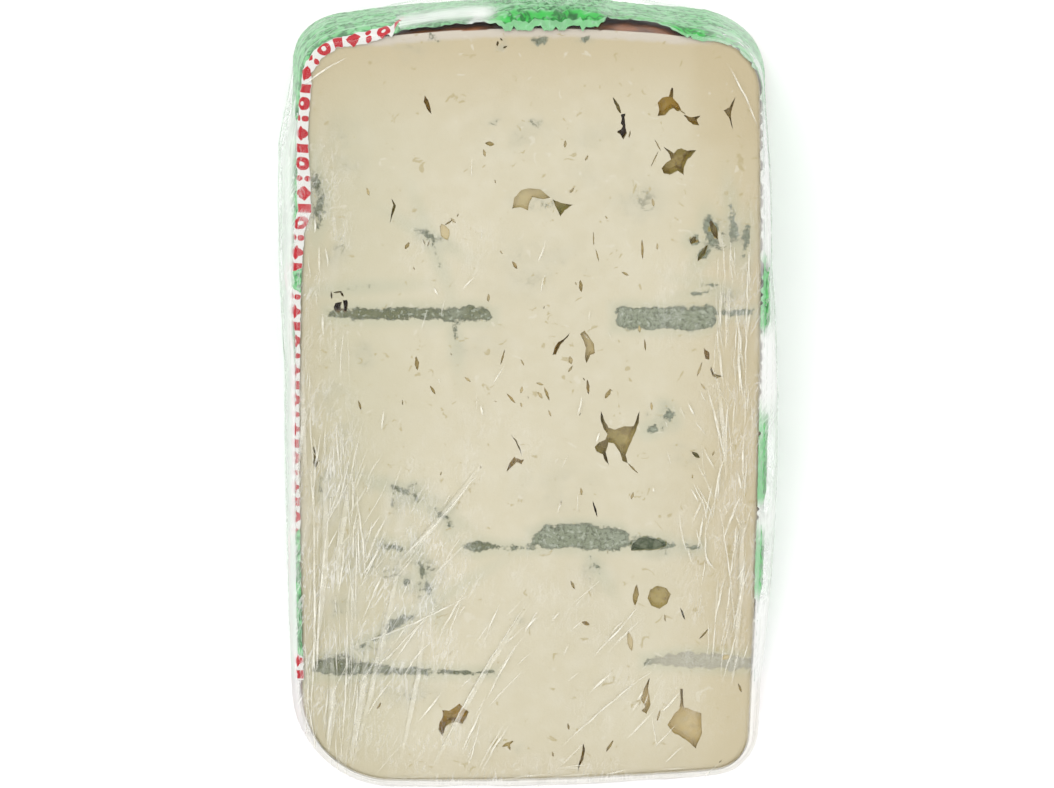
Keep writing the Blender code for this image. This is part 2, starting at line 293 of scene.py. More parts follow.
# larger gaps between curds: place, depth, tone (0 olive, 1 gold), paleness (painted light above zero, painted shade
# below), and the corners of the mouth round that place, all in millimetres on the cut face
curdGaps = (
    ((26.9, 136.7), 1.9, 0.85, 0.1, ((-1.8, 0.4), (-0.9, 1.4), (0.3, 1.6), (0.8, 3.3), (1.1, 3.3), (1.1, 1.3), (2.1, 0.2),
     (2.7, -1.0), (2.0, -1.3), (1.2, -0.7), (0.4, -1.1), (-0.3, -2.0), (-1.8, -2.2), (-1.5, -0.9))),
    ((31.4, 133.8), 1.5, 0.8, 0.1, ((-1.4, 1.0), (0.0, 0.5), (1.8, 0.8), (1.1, -0.1), (1.6, -1.1), (0.3, -0.9), (-0.6, -0.1))),
    ((28.8, 126.0), 2.2, 0.35, 0.1, ((-2.5, 2.6), (-1.1, 1.7), (-0.6, 1.3), (0.1, 2.1), (0.8, 2.3), (1.9, 1.8), (3.6, 1.9),
     (2.9, 0.9), (1.9, -0.1), (1.4, -1.3), (1.3, -2.9), (0.2, -2.1), (-1.3, -2.9), (-2.5, -2.6), (-2.9, -1.6), (-1.9, -0.4),
     (-1.1, 0.1), (-1.4, 1.1))),
    ((17.9, 71.4), 2.0, 0.25, 0.45, ((-3.2, 5.3), (-2.7, 3.8), (-1.8, 2.0), (-0.5, 1.6), (1.2, 2.3), (3.0, 2.3), (4.1, 5.3),
     (4.0, 3.0), (3.2, 0.7), (2.4, -1.2), (1.5, -3.5), (1.9, -5.1), (0.9, -4.6), (0.4, -2.9), (-0.7, -1.2), (-1.8, -1.0),
     (-2.3, -2.9), (-1.7, -5.5), (-2.5, -4.4), (-2.9, -3.3), (-4.0, -2.8), (-4.4, -1.8), (-3.6, -0.9), (-2.4, -0.4),
     (-2.0, 0.7), (-2.8, 2.0), (-3.3, 3.6))),
    ((17.5, 136.7), 1.2, 0.2, 0.1, ((-0.8, 1.5), (-0.2, 0.8), (0.3, 0.1), (0.6, -0.8), (0.8, -1.7), (0.4, -1.5), (-0.1, -0.6),
     (-0.5, 0.3))),
    ((18.6, 132.7), 1.7, 0.3, -0.9, ((-0.4, 2.1), (0.5, 2.3), (0.3, 1.6), (0.4, 0.6), (0.5, -0.4), (0.8, -1.5), (0.1, -2.7),
     (-0.3, -2.0), (-1.1, -1.2), (-0.3, -0.7), (0.0, -0.1), (-0.4, 0.4), (-0.2, 1.3))),
    ((1.2, 118.2), 0.9, 0.1, 0.75, ((-3.4, -1.7), (-3.0, 0.5), (-1.6, 2.0), (-0.3, 2.3), (1.9, 2.1), (3.8, 0.5), (2.5, 0.2),
     (0.4, 0.6), (-0.1, -0.4), (-0.4, -2.0), (-1.9, -1.4))),
    ((6.3, 116.9), 1.4, 0.05, 0.1, ((-0.9, 1.5), (0.6, 0.8), (3.0, 0.4), (1.4, -0.7), (0.6, -1.9), (-0.1, -0.4))),
    ((31.3, 13.5), 1.5, 0.9, 0.72, ((-1.2, 7.4), (-0.7, 7.4), (-0.6, 5.0), (-0.4, 3.6), (1.0, 3.1), (2.9, 2.4), (3.1, -1.6),
     (1.9, -4.8), (0.4, -3.4), (-1.1, -2.3), (-2.5, -1.6), (-3.6, 0.0), (-2.5, 2.0), (-1.3, 3.4), (-1.1, 5.0))),
    ((-13.7, 14.5), 2.2, 0.95, -0.1, ((-2.1, 2.0), (-0.7, 1.9), (1.3, 3.4), (2.0, 2.5), (3.1, 1.7), (2.7, 0.6), (1.9, -0.8),
     (0.8, -0.5), (-0.4, -0.6), (-1.3, -1.3), (-2.0, -3.3), (-2.8, -1.9), (-2.6, -0.6), (-2.1, 0.3), (-1.9, 1.3))),
    ((25.9, 39.5), 1.2, 0.35, 0.4, ((2.3, 0.6), (1.4, 1.8), (-0.3, 2.3), (-1.7, 1.5), (-2.2, -0.2), (-1.4, -1.8), (0.1, -2.4),
     (1.6, -1.4))),
    ((34.6, 88.0), 1.3, 1.0, 0.0, ((-0.5, 1.3), (0.6, 0.2), (0.6, -1.2), (-0.1, -1.0), (-0.4, 0.1))),
    ((36.0, 84.4), 0.9, 0.5, 0.3, ((-0.5, 1.3), (0.1, -0.2), (1.8, -0.8), (0.6, -1.2), (-0.1, -0.8), (-0.6, 0.5))),
    ((6.4, 89.4), 1.4, 0.9, 0.1, ((-1.0, -1.6), (-0.6, -0.2), (0.1, 1.0), (1.2, 1.6), (2.4, 2.9), (1.9, 1.9), (0.7, 0.6),
     (0.1, -0.5), (-0.3, -1.5))),
    ((12.2, 89.8), 1.0, 0.4, 0.7, ((-1.5, 2.2), (-0.7, 2.9), (0.2, 1.6), (1.1, 0.2), (1.3, -1.6), (0.4, -2.0), (-0.3, -3.6),
     (-0.6, -2.3), (-0.4, -0.6), (-1.0, 1.1))),
    ((-1.7, 66.8), 1.2, 1.0, 0.45, ((-1.6, -2.2), (-1.1, -0.5), (-0.1, 0.8), (1.1, 0.2), (1.7, 0.3), (1.3, -0.7), (0.3, -0.3),
     (-0.5, -1.1))),
    ((-1.3, 70.0), 0.7, 0.2, 0.3, ((-1.2, 2.1), (0.0, 0.7), (0.7, -1.0), (0.9, -2.4), (0.5, -1.1), (-0.2, 0.5))),
    ((-35.2, 97.5), 2.0, 0.5, -1.0, ((-0.5, 0.5), (0.8, 0.8), (0.5, -0.1), (0.5, -1.0), (-0.5, -1.1), (-0.8, -0.3))),
    ((-33.8, 97.5), 2.0, 0.5, -1.0, ((-0.5, 1.1), (0.3, 1.2), (0.5, 0.4), (0.2, -1.2), (-0.2, -1.1), (-0.3, 0.1))),
    ((-39.6, 66.8), 1.4, 0.3, -0.2, ((-0.4, 1.4), (0.6, 0.1), (-0.1, -1.5), (-0.6, -0.4))),
    ((23.7, 50.0), 1.0, -1.0, 0.0, ((-3.2, -1.2), (-2.9, 0.2), (-1.6, 1.3), (0.1, 1.5), (1.8, 1.0), (3.2, 0.2), (3.5, -0.4),
     (2.1, -1.0), (-0.4, -1.1))),
    ((23.3, 19.6), 1.1, 0.95, 0.7, ((0.9, 3.6), (0.6, 1.3), (1.1, -2.0), (0.3, -3.9), (-0.6, -3.2), (0.1, -2.4), (-0.8, -0.8),
     (-0.2, 1.3))),
    ((11.2, 6.8), 1.1, 0.8, 0.2, ((0.3, 3.0), (0.6, 1.6), (0.3, -0.4), (-0.4, -1.6), (-0.7, -3.0), (-0.6, -1.2), (-0.2, 0.2),
     (0.1, 1.6))),
    ((-18.2, 136.8), 1.6, 0.85, 0.0, ((-0.4, 1.7), (0.2, 0.9), (0.6, -0.4), (0.9, -2.0), (0.4, -1.5), (-0.1, -0.6), (-0.6, 0.5))),
    ((-24.8, 116.5), 1.1, 0.2, 0.1, ((-0.1, 2.0), (0.7, 0.6), (0.3, -0.7), (-0.5, -2.9), (-0.1, -0.4), (0.2, 0.7))),
    ((38.3, 135.3), 1.1, 0.6, 0.4, ((-0.8, 0.3), (0.3, 0.9), (1.4, 3.0), (0.8, 0.6), (0.6, -0.8), (1.0, -3.4), (0.2, -1.0))),
)
# small gaps, slits pointed at both ends: place, length, width, direction in degrees, depth, tone, paleness (painted
# light and shade)
curdSlits = (
    (20.8, 65.3, 2.9, 0.4, -46, 0.9, 0.2, 0.0), (-6.4, 129.2, 1.8, 1.0, 170, 0.9, 0.2, 0.1), (-1.7, 105.5, 1.8, 0.7, 120, 1.0, 0.9, 0.1),
    (13.2, 110.6, 2.8, 0.3, 92, 0.7, 0.3, 0.1), (13.9, 107.4, 2.6, 0.3, 105, 0.7, 0.3, 0.1), (22.4, 108.6, 4.0, 0.45, 92, 0.9, 0.7, 0.1),
    (19.2, 103.8, 1.5, 0.6, 150, 0.7, 0.5, 0.2), (10.8, 101.4, 2.4, 0.8, 95, 1.0, 0.1, 0.0), (-4.0, 87.4, 3.2, 0.4, 75, 0.8, 0.6, 0.2),
    (-20.3, 86.2, 2.8, 0.9, 95, 1.2, 0.6, 0.1), (-17.3, 80.9, 2.0, 0.6, 120, 1.0, 0.5, 0.1), (-31.2, 77.9, 2.0, 0.5, 105, 0.9, 0.5, 0.1),
    (-2.4, 79.2, 2.6, 0.5, 130, 0.8, 0.7, 0.2), (4.4, 80.1, 2.8, 0.6, 110, 0.9, 0.4, 0.2), (12.2, 81.5, 3.0, 0.7, 95, 1.0, 0.9, 0.1),
    (16.0, 80.1, 2.2, 0.9, 60, 1.0, 0.4, 0.2), (32.8, 68.0, 2.0, 0.9, 140, 1.1, 0.0, -0.1), (23.0, 89.8, 2.4, 0.4, 95, 0.8, 0.6, 0.1),
    (13.6, 57.2, 3.4, 0.4, 105, 1.6, 0.3, -0.9), (9.4, 41.9, 2.0, 0.6, 115, 0.9, 0.5, 0.1), (21.5, 39.9, 4.3, 1.2, 85, 1.4, 0.2, 0.05),
    (30.5, 36.1, 2.6, 0.45, 110, 1.2, 0.2, -0.3), (11.9, 34.2, 1.6, 0.9, 160, 1.2, 0.9, 0.0), (20.4, 30.6, 4.2, 1.2, 100, 0.8, 0.6, 0.8),
    (34.6, 32.0, 2.8, 0.45, 50, 0.9, 0.1, 0.0), (-3.1, 9.6, 2.6, 0.8, 28, 0.9, 0.2, 0.1), (-2.9, 9.2, 1.8, 0.6, 110, 0.8, 0.2, 0.1),
    (16.6, 9.2, 2.8, 0.6, 60, 1.0, 0.3, 0.1), (26.0, 15.4, 2.4, 0.5, 75, 0.8, 0.5, 0.4), (41.6, 21.1, 2.0, 0.5, 110, 0.9, 0.4, 0.2),
    (8.6, 13.2, 1.4, 0.5, 100, 0.8, 0.5, 0.3), (-27.9, 17.4, 1.6, 0.5, 60, 0.8, 0.4, 0.2), (-14.9, 112.0, 3.6, 2.0, 110, 0.6, 0.3, 0.85),
    (-14.2, 113.8, 1.8, 0.4, 35, 0.8, 0.2, 0.2), (-22.0, 109.3, 1.6, 0.8, 60, 0.8, 0.1, 0.0), (35.9, 112.4, 4.2, 1.3, 110, 1.4, 0.0, -0.2),
    (32.0, 110.3, 1.7, 1.3, 60, 1.2, 0.0, -0.3), (33.8, 107.8, 3.8, 1.1, 60, 1.2, 0.0, -0.1), (8.9, 86.8, 1.7, 0.9, 100, 0.6, 0.7, 0.7),
    (33.4, 85.0, 3.0, 0.5, 72, 0.6, 0.7, 0.7), (25.2, 128.9, 2.6, 0.3, 118, 0.5, 0.3, 0.3), (24.6, 126.2, 3.4, 0.3, 65, 0.5, 0.3, 0.4),
    (-36.4, 99.6, 1.6, 0.4, 95, 0.9, 0.5, -0.3), (-35.2, 100.2, 1.8, 0.4, 10, 0.8, 0.5, -0.1), (-34.4, 99.8, 1.2, 0.5, 120, 0.9, 0.5, -0.4),
    (29.8, 135.3, 1.5, 0.3, -35, 0.9, 0.5, 0.0), (19.9, 131.0, 1.5, 0.35, 80, 0.8, 0.2, 0.3), (-39.9, 68.9, 1.8, 0.4, 105, 1.0, 0.1, -0.2),
    (-4.9, 148.5, 1.1, 0.5, 80, 0.5, 0.3, -0.6), (-3.5, 147.8, 0.9, 0.45, 30, 0.5, 0.3, -0.5), (-4.2, 149.3, 0.7, 0.35, 130, 0.5, 0.3, -0.5),
)
# thinly scattered nicks: middle, spread, how many, usual direction
nickFields = (
    ((10, 84), (12, 9), 14, 95), ((6, 106), (20, 10), 9, 95), ((-8, 76), (16, 12), 7, 105), ((28, 60), (10, 26), 7, 90),
    ((0, 126), (30, 10), 6, 80), ((20, 16), (20, 12), 6, 80), ((-20, 110), (16, 14), 5, 80), ((6, 60), (18, 12), 5, 100),
)


def allGaps():
    # place, depth, tone, paleness and mouth of every gap, large and small
    gaps = [(np.array(place), depth, tone, pale, np.array(mouth)) for place, depth, tone, pale, mouth in curdGaps]
    slits = list(curdSlits)
    rng = random.Random(11)
    for (cx, cy), (sx, sy), count, direction in nickFields:
        for _ in range(count):
            x, y = cx + rng.uniform(-1, 1) * sx, cy + rng.uniform(-1, 1) * sy
            size = rng.uniform(0.5, 1.7)
            slits.append((x, y, size, size * rng.uniform(0.2, 0.45), direction + rng.gauss(0, 28), 0.5, rng.random(), rng.uniform(0.45, 0.95)))
    for x, y, length, width, direction, depth, tone, pale in slits:
        if all(np.hypot(*(np.array((x, y)) - g[0])) > 0.9 + np.abs(g[4]).max() * (len(g[4]) != 10) for g in gaps) or (
            len(gaps) < len(curdGaps) + len(curdSlits)
        ):
            along = np.array([-1, -0.55, 0.1, 0.6, 1, 0.75, 0.2, -0.2, -0.7, -0.95])
            side = np.array([0, -0.6, -0.95, -0.5, 0, 0.55, 0.8, 1.0, 0.6, 0.1])
            c, s_ = math.cos(math.radians(direction)), math.sin(math.radians(direction))
            u, v = along * length / 2, side * width / 2
            if pale >= 0:
                depth, tone, pale = min(depth * 0.5, width * 0.8 + 0.12), max(tone, 0.5), pale * 0.6 + 0.4
            gaps.append((np.array((x, y)), depth, tone, pale, np.stack([u * c - v * s_, u * s_ + v * c], 1)))
    return gaps


def gapMouth(corners, shift):
    # the mouth's corners with two uneven points between neighbours
    points = []
    for here, there in zip(corners, np.roll(corners, -1, 0)):
        points.append(here)
        if np.hypot(*(there - here)) > 0.7:
            for w in (0.35, 0.7):
                p = here + (there - here) * w
                points.append(p + 0.05 * np.array([math.sin(7 * p[0] + shift), math.cos(8 * p[1] - shift)]))
    return np.array(points)


def gapLevels(depth):
    # how a gap goes down: depth, width, and how far it leans under its back left edge
    return ((0.10, 1.0, 0.0), (0.55 * depth, 0.97, 0.07 * depth), (0.95 * depth, 0.82, 0.10 * depth), (depth, 0.45, 0.08 * depth))


def curdGapCutters():
    bm = bmesh.new()
    for n, (place, depth, _, _, corners) in enumerate(allGaps()):
        centre, width = place, 1.0
        mouth = centre + gapMouth(corners, n)
        face = bm.faces.new([bm.verts.new(p) for p in onFace(mouth[:, 0] * mm, mouth[:, 1] * mm, 0.8 * mm)])
        for level, (down, newWidth, lean) in enumerate(gapLevels(depth)):
            made = bmesh.ops.extrude_face_region(bm, geom=[face])["geom"]
            if level > 0:
                bm.faces.remove(face)  # the extrusion leaves it behind, inside the cutter
            face = [g for g in made if isinstance(g, bmesh.types.BMFace)][0]
            newCentre = place + np.array([-lean, lean])
            across, fromAxis, _ = faceOf(np.array([v.co for v in face.verts]))
            moved = newCentre + (np.stack([across, fromAxis], 1) / mm - centre) * newWidth / width
            for v, co in zip(face.verts, onFace(moved[:, 0] * mm, moved[:, 1] * mm, -down * mm)):
                v.co = co
            centre, width = newCentre, newWidth
    bmesh.ops.recalc_face_normals(bm, faces=bm.faces)
    return meshFrom(bm, "gaps")


def spread(cells):
    # places from 0 to 1 along the face, closer together at its edges
    rows = np.array(cheese["edgeRows"])
    inner = np.linspace(rows[-1] + 0.0055, 1 - rows[-1] - 0.0055, cells + 1 - 2 * len(rows))
    return np.concatenate([rows, inner, 1 - rows[::-1]])


# blue mould along the tracks of the piercing needles: stations of (across, middle, half height)
needleTracks = (
    ((-37.2, 95.9, 0.5), (-34.0, 96.0, 1.1), (-28.0, 95.8, 1.1), (-22.0, 96.1, 1.2), (-16.0, 95.8, 1.2),
     (-10.0, 95.9, 1.5), (-6.8, 95.7, 1.3), (-5.9, 95.5, 0.6)),
    ((17.4, 95.2, 1.9), (19.0, 95.3, 2.2), (24.0, 95.0, 2.2), (29.0, 95.1, 2.3), (33.0, 95.0, 2.4),
     (35.6, 95.4, 2.0), (36.4, 95.6, 1.0)),
    ((36.0, 96.2, 0.3), (40.0, 96.2, 0.3), (43.4, 96.3, 0.6)),
    ((-11.4, 49.5, 0.2), (-9.0, 49.6, 1.2), (-6.6, 49.7, 0.8), (-4.0, 49.4, 0.3), (2.4, 49.5, 0.4)),
    ((1.7, 51.0, 1.0), (4.0, 51.6, 2.2), (10.0, 51.7, 2.6), (15.0, 51.3, 2.5), (19.0, 51.2, 2.0), (20.4, 51.0, 0.6)),
    ((19.8, 50.4, 0.35), (24.0, 50.3, 0.3)),
    ((27.0, 50.0, 0.3), (33.6, 49.4, 0.3)),
    ((-40.4, 25.4, 0.9), (-38.0, 25.4, 1.7), (-34.0, 25.2, 1.6), (-30.0, 25.0, 1.1), (-24.0, 24.6, 0.7), (-18.0, 24.3, 0.6),
     (-15.0, 24.2, 0.3), (-6.0, 24.2, 0.1)),
    ((23.4, 26.4, 0.4), (26.0, 26.6, 0.9), (30.0, 26.8, 1.3), (34.0, 26.7, 1.5), (38.0, 26.4, 1.5), (43.0, 26.1, 1.2), (44.4, 26.0, 0.6)),
)
# smaller mould: place, half sizes, turn in degrees
mouldSpots = (
    (-13.1, 92.4, 0.35, 1.8, 5), (23.9, 50.2, 3.6, 1.4, -4), (35.4, 112.0, 1.2, 2.6, 12), (32.0, 110.3, 1.0, 1.0, 0),
    (34.0, 107.8, 0.8, 2.0, -30), (39.6, 113.4, 0.7, 3.4, 8), (41.9, 110.0, 0.8, 2.6, -6), (27.6, 76.1, 0.9, 1.4, 30),
    (24.4, 73.2, 1.2, 0.8, 20), (-23.6, 61.0, 2.4, 0.5, -20), (-15.6, 56.0, 1.9, 0.5, -30), (-22.3, 42.6, 0.9, 0.6, 30),
    (-18.2, 40.6, 0.5, 2.1, 16), (-19.5, 44.9, 0.5, 2.3, 14), (-24.6, 49.6, 1.2, 0.55, -20), (-20.6, 59.4, 0.6, 1.2, 20),
    (-14.2, 54.4, 0.5, 1.1, 0), (2.9, 149.1, 1.5, 0.8, 10), (-16.6, 149.3, 0.8, 0.45, -30), (11.2, 149.3, 0.8, 0.4, 20), (-39.2, 121.6, 0.7, 3.0, 5), (-38.6, 116.0, 0.9, 3.0, -8), (13.9, 45.6, 0.3, 1.2, 30),
    (34.4, 100.2, 1.4, 0.3, 10), (35.8, 101.4, 1.2, 0.25, -12),
    (-24.6, 34.0, 1.0, 2.4, -52), (-28.6, 31.0, 0.25, 5.0, -57),
    (-18.3, 111.4, 0.3, 1.6, 60), (-17.0, 108.8, 0.25, 1.8, 20), (-31.4, 101.0, 1.6, 0.2, 4),
)


# hazy patches with fine dark veins and specks in them: place, half sizes, turn, how much
mouldHaze = (
    (-38.6, 118, 3.0, 6.5, 0, 1.0), (-36, 110, 4.0, 6.0, 0, 0.6), (-24, 60, 9.0, 6.0, 20, 0.8), (-17, 56, 5.0, 5.0, 0, 0.9),
    (-26, 47, 11.0, 5.5, 0, 0.9), (-18.5, 42, 5.0, 6.0, 0, 1.0), (-36, 36, 5.0, 5.0, 0, 0.7), (-30, 29, 8.0, 4.0, -30, 0.6),
    (37.5, 110.5, 6.5, 5.5, 0, 0.8), (38.5, 98.5, 4.5, 3.0, 0, 0.7), (26, 75, 4.5, 4.5, 30, 0.9), (31, 68, 5.0, 3.0, -30, 0.4),
    (2.5, 117.5, 6.5, 3.6, -10, 0.9), (-5.3, 133.2, 1.6, 1.4, 0, 0.9), (2.3, 133.4, 1.8, 1.4, 0, 1.0), (-0.5, 35.2, 1.5, 1.3, 0, 0.8), (-17, 110.5, 6.0, 3.0, -15, 0.7), (-36, 26, 7.0, 4.0, 0, 1.0), (9, 51.5, 12.0, 4.0, 0, 0.6),
    (-2.0, 131, 10.0, 6.0, 0, 0.35), (14, 127, 8.0, 8.0, 0, 0.35), (2, 105, 14, 9, 0, 0.3), (22, 118, 7, 6, 0, 0.45),
    (-34, 128, 6, 9, 0, 0.45), (-36, 76, 6.0, 9.0, 0, 0.5), (-38, 60, 4.0, 8.0, 0, 0.7), (6, 62, 12, 7, 0, 0.25),
    (-12, 90, 12, 5, 0, 0.25), (28, 49, 9, 3.0, 0, 0.5), (-22, 20, 9, 4, 0, 0.4), (14, 44, 6, 4, -40, 0.45),
    (-4.2, 148.3, 1.9, 1.5, 0, 1.4), (2.9, 149.2, 2.2, 1.3, 0, 1.3), (-16.5, 149.4, 1.6, 1.0, 0, 1.0), (11, 149.2, 3.0, 0.8, 0, 0.6),
    (-24, 147, 7, 3, 0, 0.5), (-1, 9, 2.2, 2.0, 0, 0.8), (-30, 88, 3, 4, 0, 0.45),
)


def hazeIn(across, fromAxis):
    much = np.zeros(len(across))
    for x, y, wide, high, turn, amount in mouldHaze:
        c, s_ = math.cos(math.radians(turn)), math.sin(math.radians(turn))
        u, v = (across - x) * c + (fromAxis - y) * s_, (fromAxis - y) * c - (across - x) * s_
        much = np.maximum(much, amount * np.clip(1.5 - 1.5 * np.hypot(u / wide, v / high), 0, 1))
    return much


def mouldIn(across, fromAxis):
    # how far inside the mould a place is, in millimetres
    deepest = np.full(len(across), -9.0)
    for stations in needleTracks:
        xs, middles, halves = np.array(stations).T
        within = np.interp(across, xs, halves) - abs(fromAxis - np.interp(across, xs, middles))
        deepest = np.maximum(deepest, np.minimum(within, np.minimum(across - xs[0], xs[-1] - across)))
    for x, y, wide, high, turn in mouldSpots:
        c, s = math.cos(math.radians(turn)), math.sin(math.radians(turn))
        u, v = (across - x) * c + (fromAxis - y) * s, (fromAxis - y) * c - (across - x) * s
        deepest = np.maximum(deepest, (1 - np.hypot(u / wide, v / high)) * min(wide, high))
    return deepest


def cheeseBody():
    bm = bmesh.new()
    order = bm.verts.layers.int.new("order")
    nx, ny = cheese["acrossCells"], cheese["alongCells"]
    bmesh.ops.create_grid(bm, x_segments=nx, y_segments=ny, size=1.0)
    bm.verts.ensure_lookup_table()
    columns = np.array([round((v.co.x + 1) / 2 * nx) for v in bm.verts])
    rows = np.array([round((v.co.y + 1) / 2 * ny) for v in bm.verts])
    flat = facePlaces(spread(nx)[columns], spread(ny)[rows])
    across, fromAxis = flat.T
    inside = insideBy(across, fromAxis, outline()[0])
    round_ = np.clip(1 - inside / cheese["edgeRound"], 0, 1) ** 2 * cheese["edgeDrop"]
    flatPlaces = np.stack([across, fromAxis, 0 * across], 1)
    waves = bumps(flatPlaces, 0.017) * cheese["waves"] + bumps(flatPlaces, 0.0035, 5) * 0.00006
    mould = np.clip(mouldIn(across / mm, fromAxis / mm) / 0.6 + 0.5, 0, 1)
    mouldRough = bumps(flatPlaces, 0.0014, 9) * 0.00016 - 0.00016
    for v, co in zip(bm.verts, onFace(across, fromAxis, waves - round_ + mould * mouldRough)):
        v.co = co
    ring = np.zeros((2 * (nx + ny), 2))
    for v, i, j, place in zip(bm.verts, columns, rows, flat):
        if i in (0, nx) or j in (0, ny):
            if i == 0:
                at = ny - j
            elif j == 0:
                at = ny + i
            elif i == nx:
                at = ny + nx + j
            else:
                at = ny + nx + ny + nx - i
            v[order] = at
            ring[at] = place
    outs = outwards(ring)
    edges = [e for e in bm.edges if e.is_boundary]
    for share in cheese["wallLevels"]:
        made = bmesh.ops.extrude_edge_only(bm, edges=edges)["geom"]
        newVerts = [g for g in made if isinstance(g, bmesh.types.BMVert)]
        edges = [g for g in made if isinstance(g, bmesh.types.BMEdge) and g.is_boundary]
        at = np.array([v[order] for v in newVerts])
        places = wallPoint(ring[at], outs[at], share)
        rough = bumps(places, 0.006, 2) + 0.6 * bumps(places, 0.0018, 3)
        rough *= cheese["crust"] * (0.35 + 0.9 * np.maximum(outs[at, 1], 0)) * math.sin(math.pi * max(share, 0.02)) ** 0.5
        places += np.stack([outs[at, 0], outs[at, 1], 0 * at], 1) * rough[:, None]
        for v, co in zip(newVerts, places):
            v.co = co
    bmesh.ops.contextual_create(bm, geom=edges)
    bmesh.ops.recalc_face_normals(bm, faces=bm.faces)
    return meshFrom(bm, "cheese")


def cutOut(body, cutter):
    # takes the cutter away from the body and keeps only the result
    cut = body.modifiers.new("gaps", "BOOLEAN")
    cut.operation = "DIFFERENCE"
    cut.solver = "EXACT"
    cut.use_self = True
    cut.object = cutter
    result = bpy.data.meshes.new_from_object(body.evaluated_get(bpy.context.evaluated_depsgraph_get()))
    body.modifiers.clear()
    old, body.data = body.data, result
    bpy.data.meshes.remove(old)
    bpy.data.objects.remove(cutter)


def sharpen(mesh, degrees):
    bm = bmesh.new()
    bm.from_mesh(mesh)
    for face in bm.faces:
        face.smooth = True
    for edge in bm.edges:
        edge.smooth = len(edge.link_faces) == 2 and edge.calc_face_angle(0) < math.radians(degrees)
    bm.to_mesh(mesh)
    bm.free()


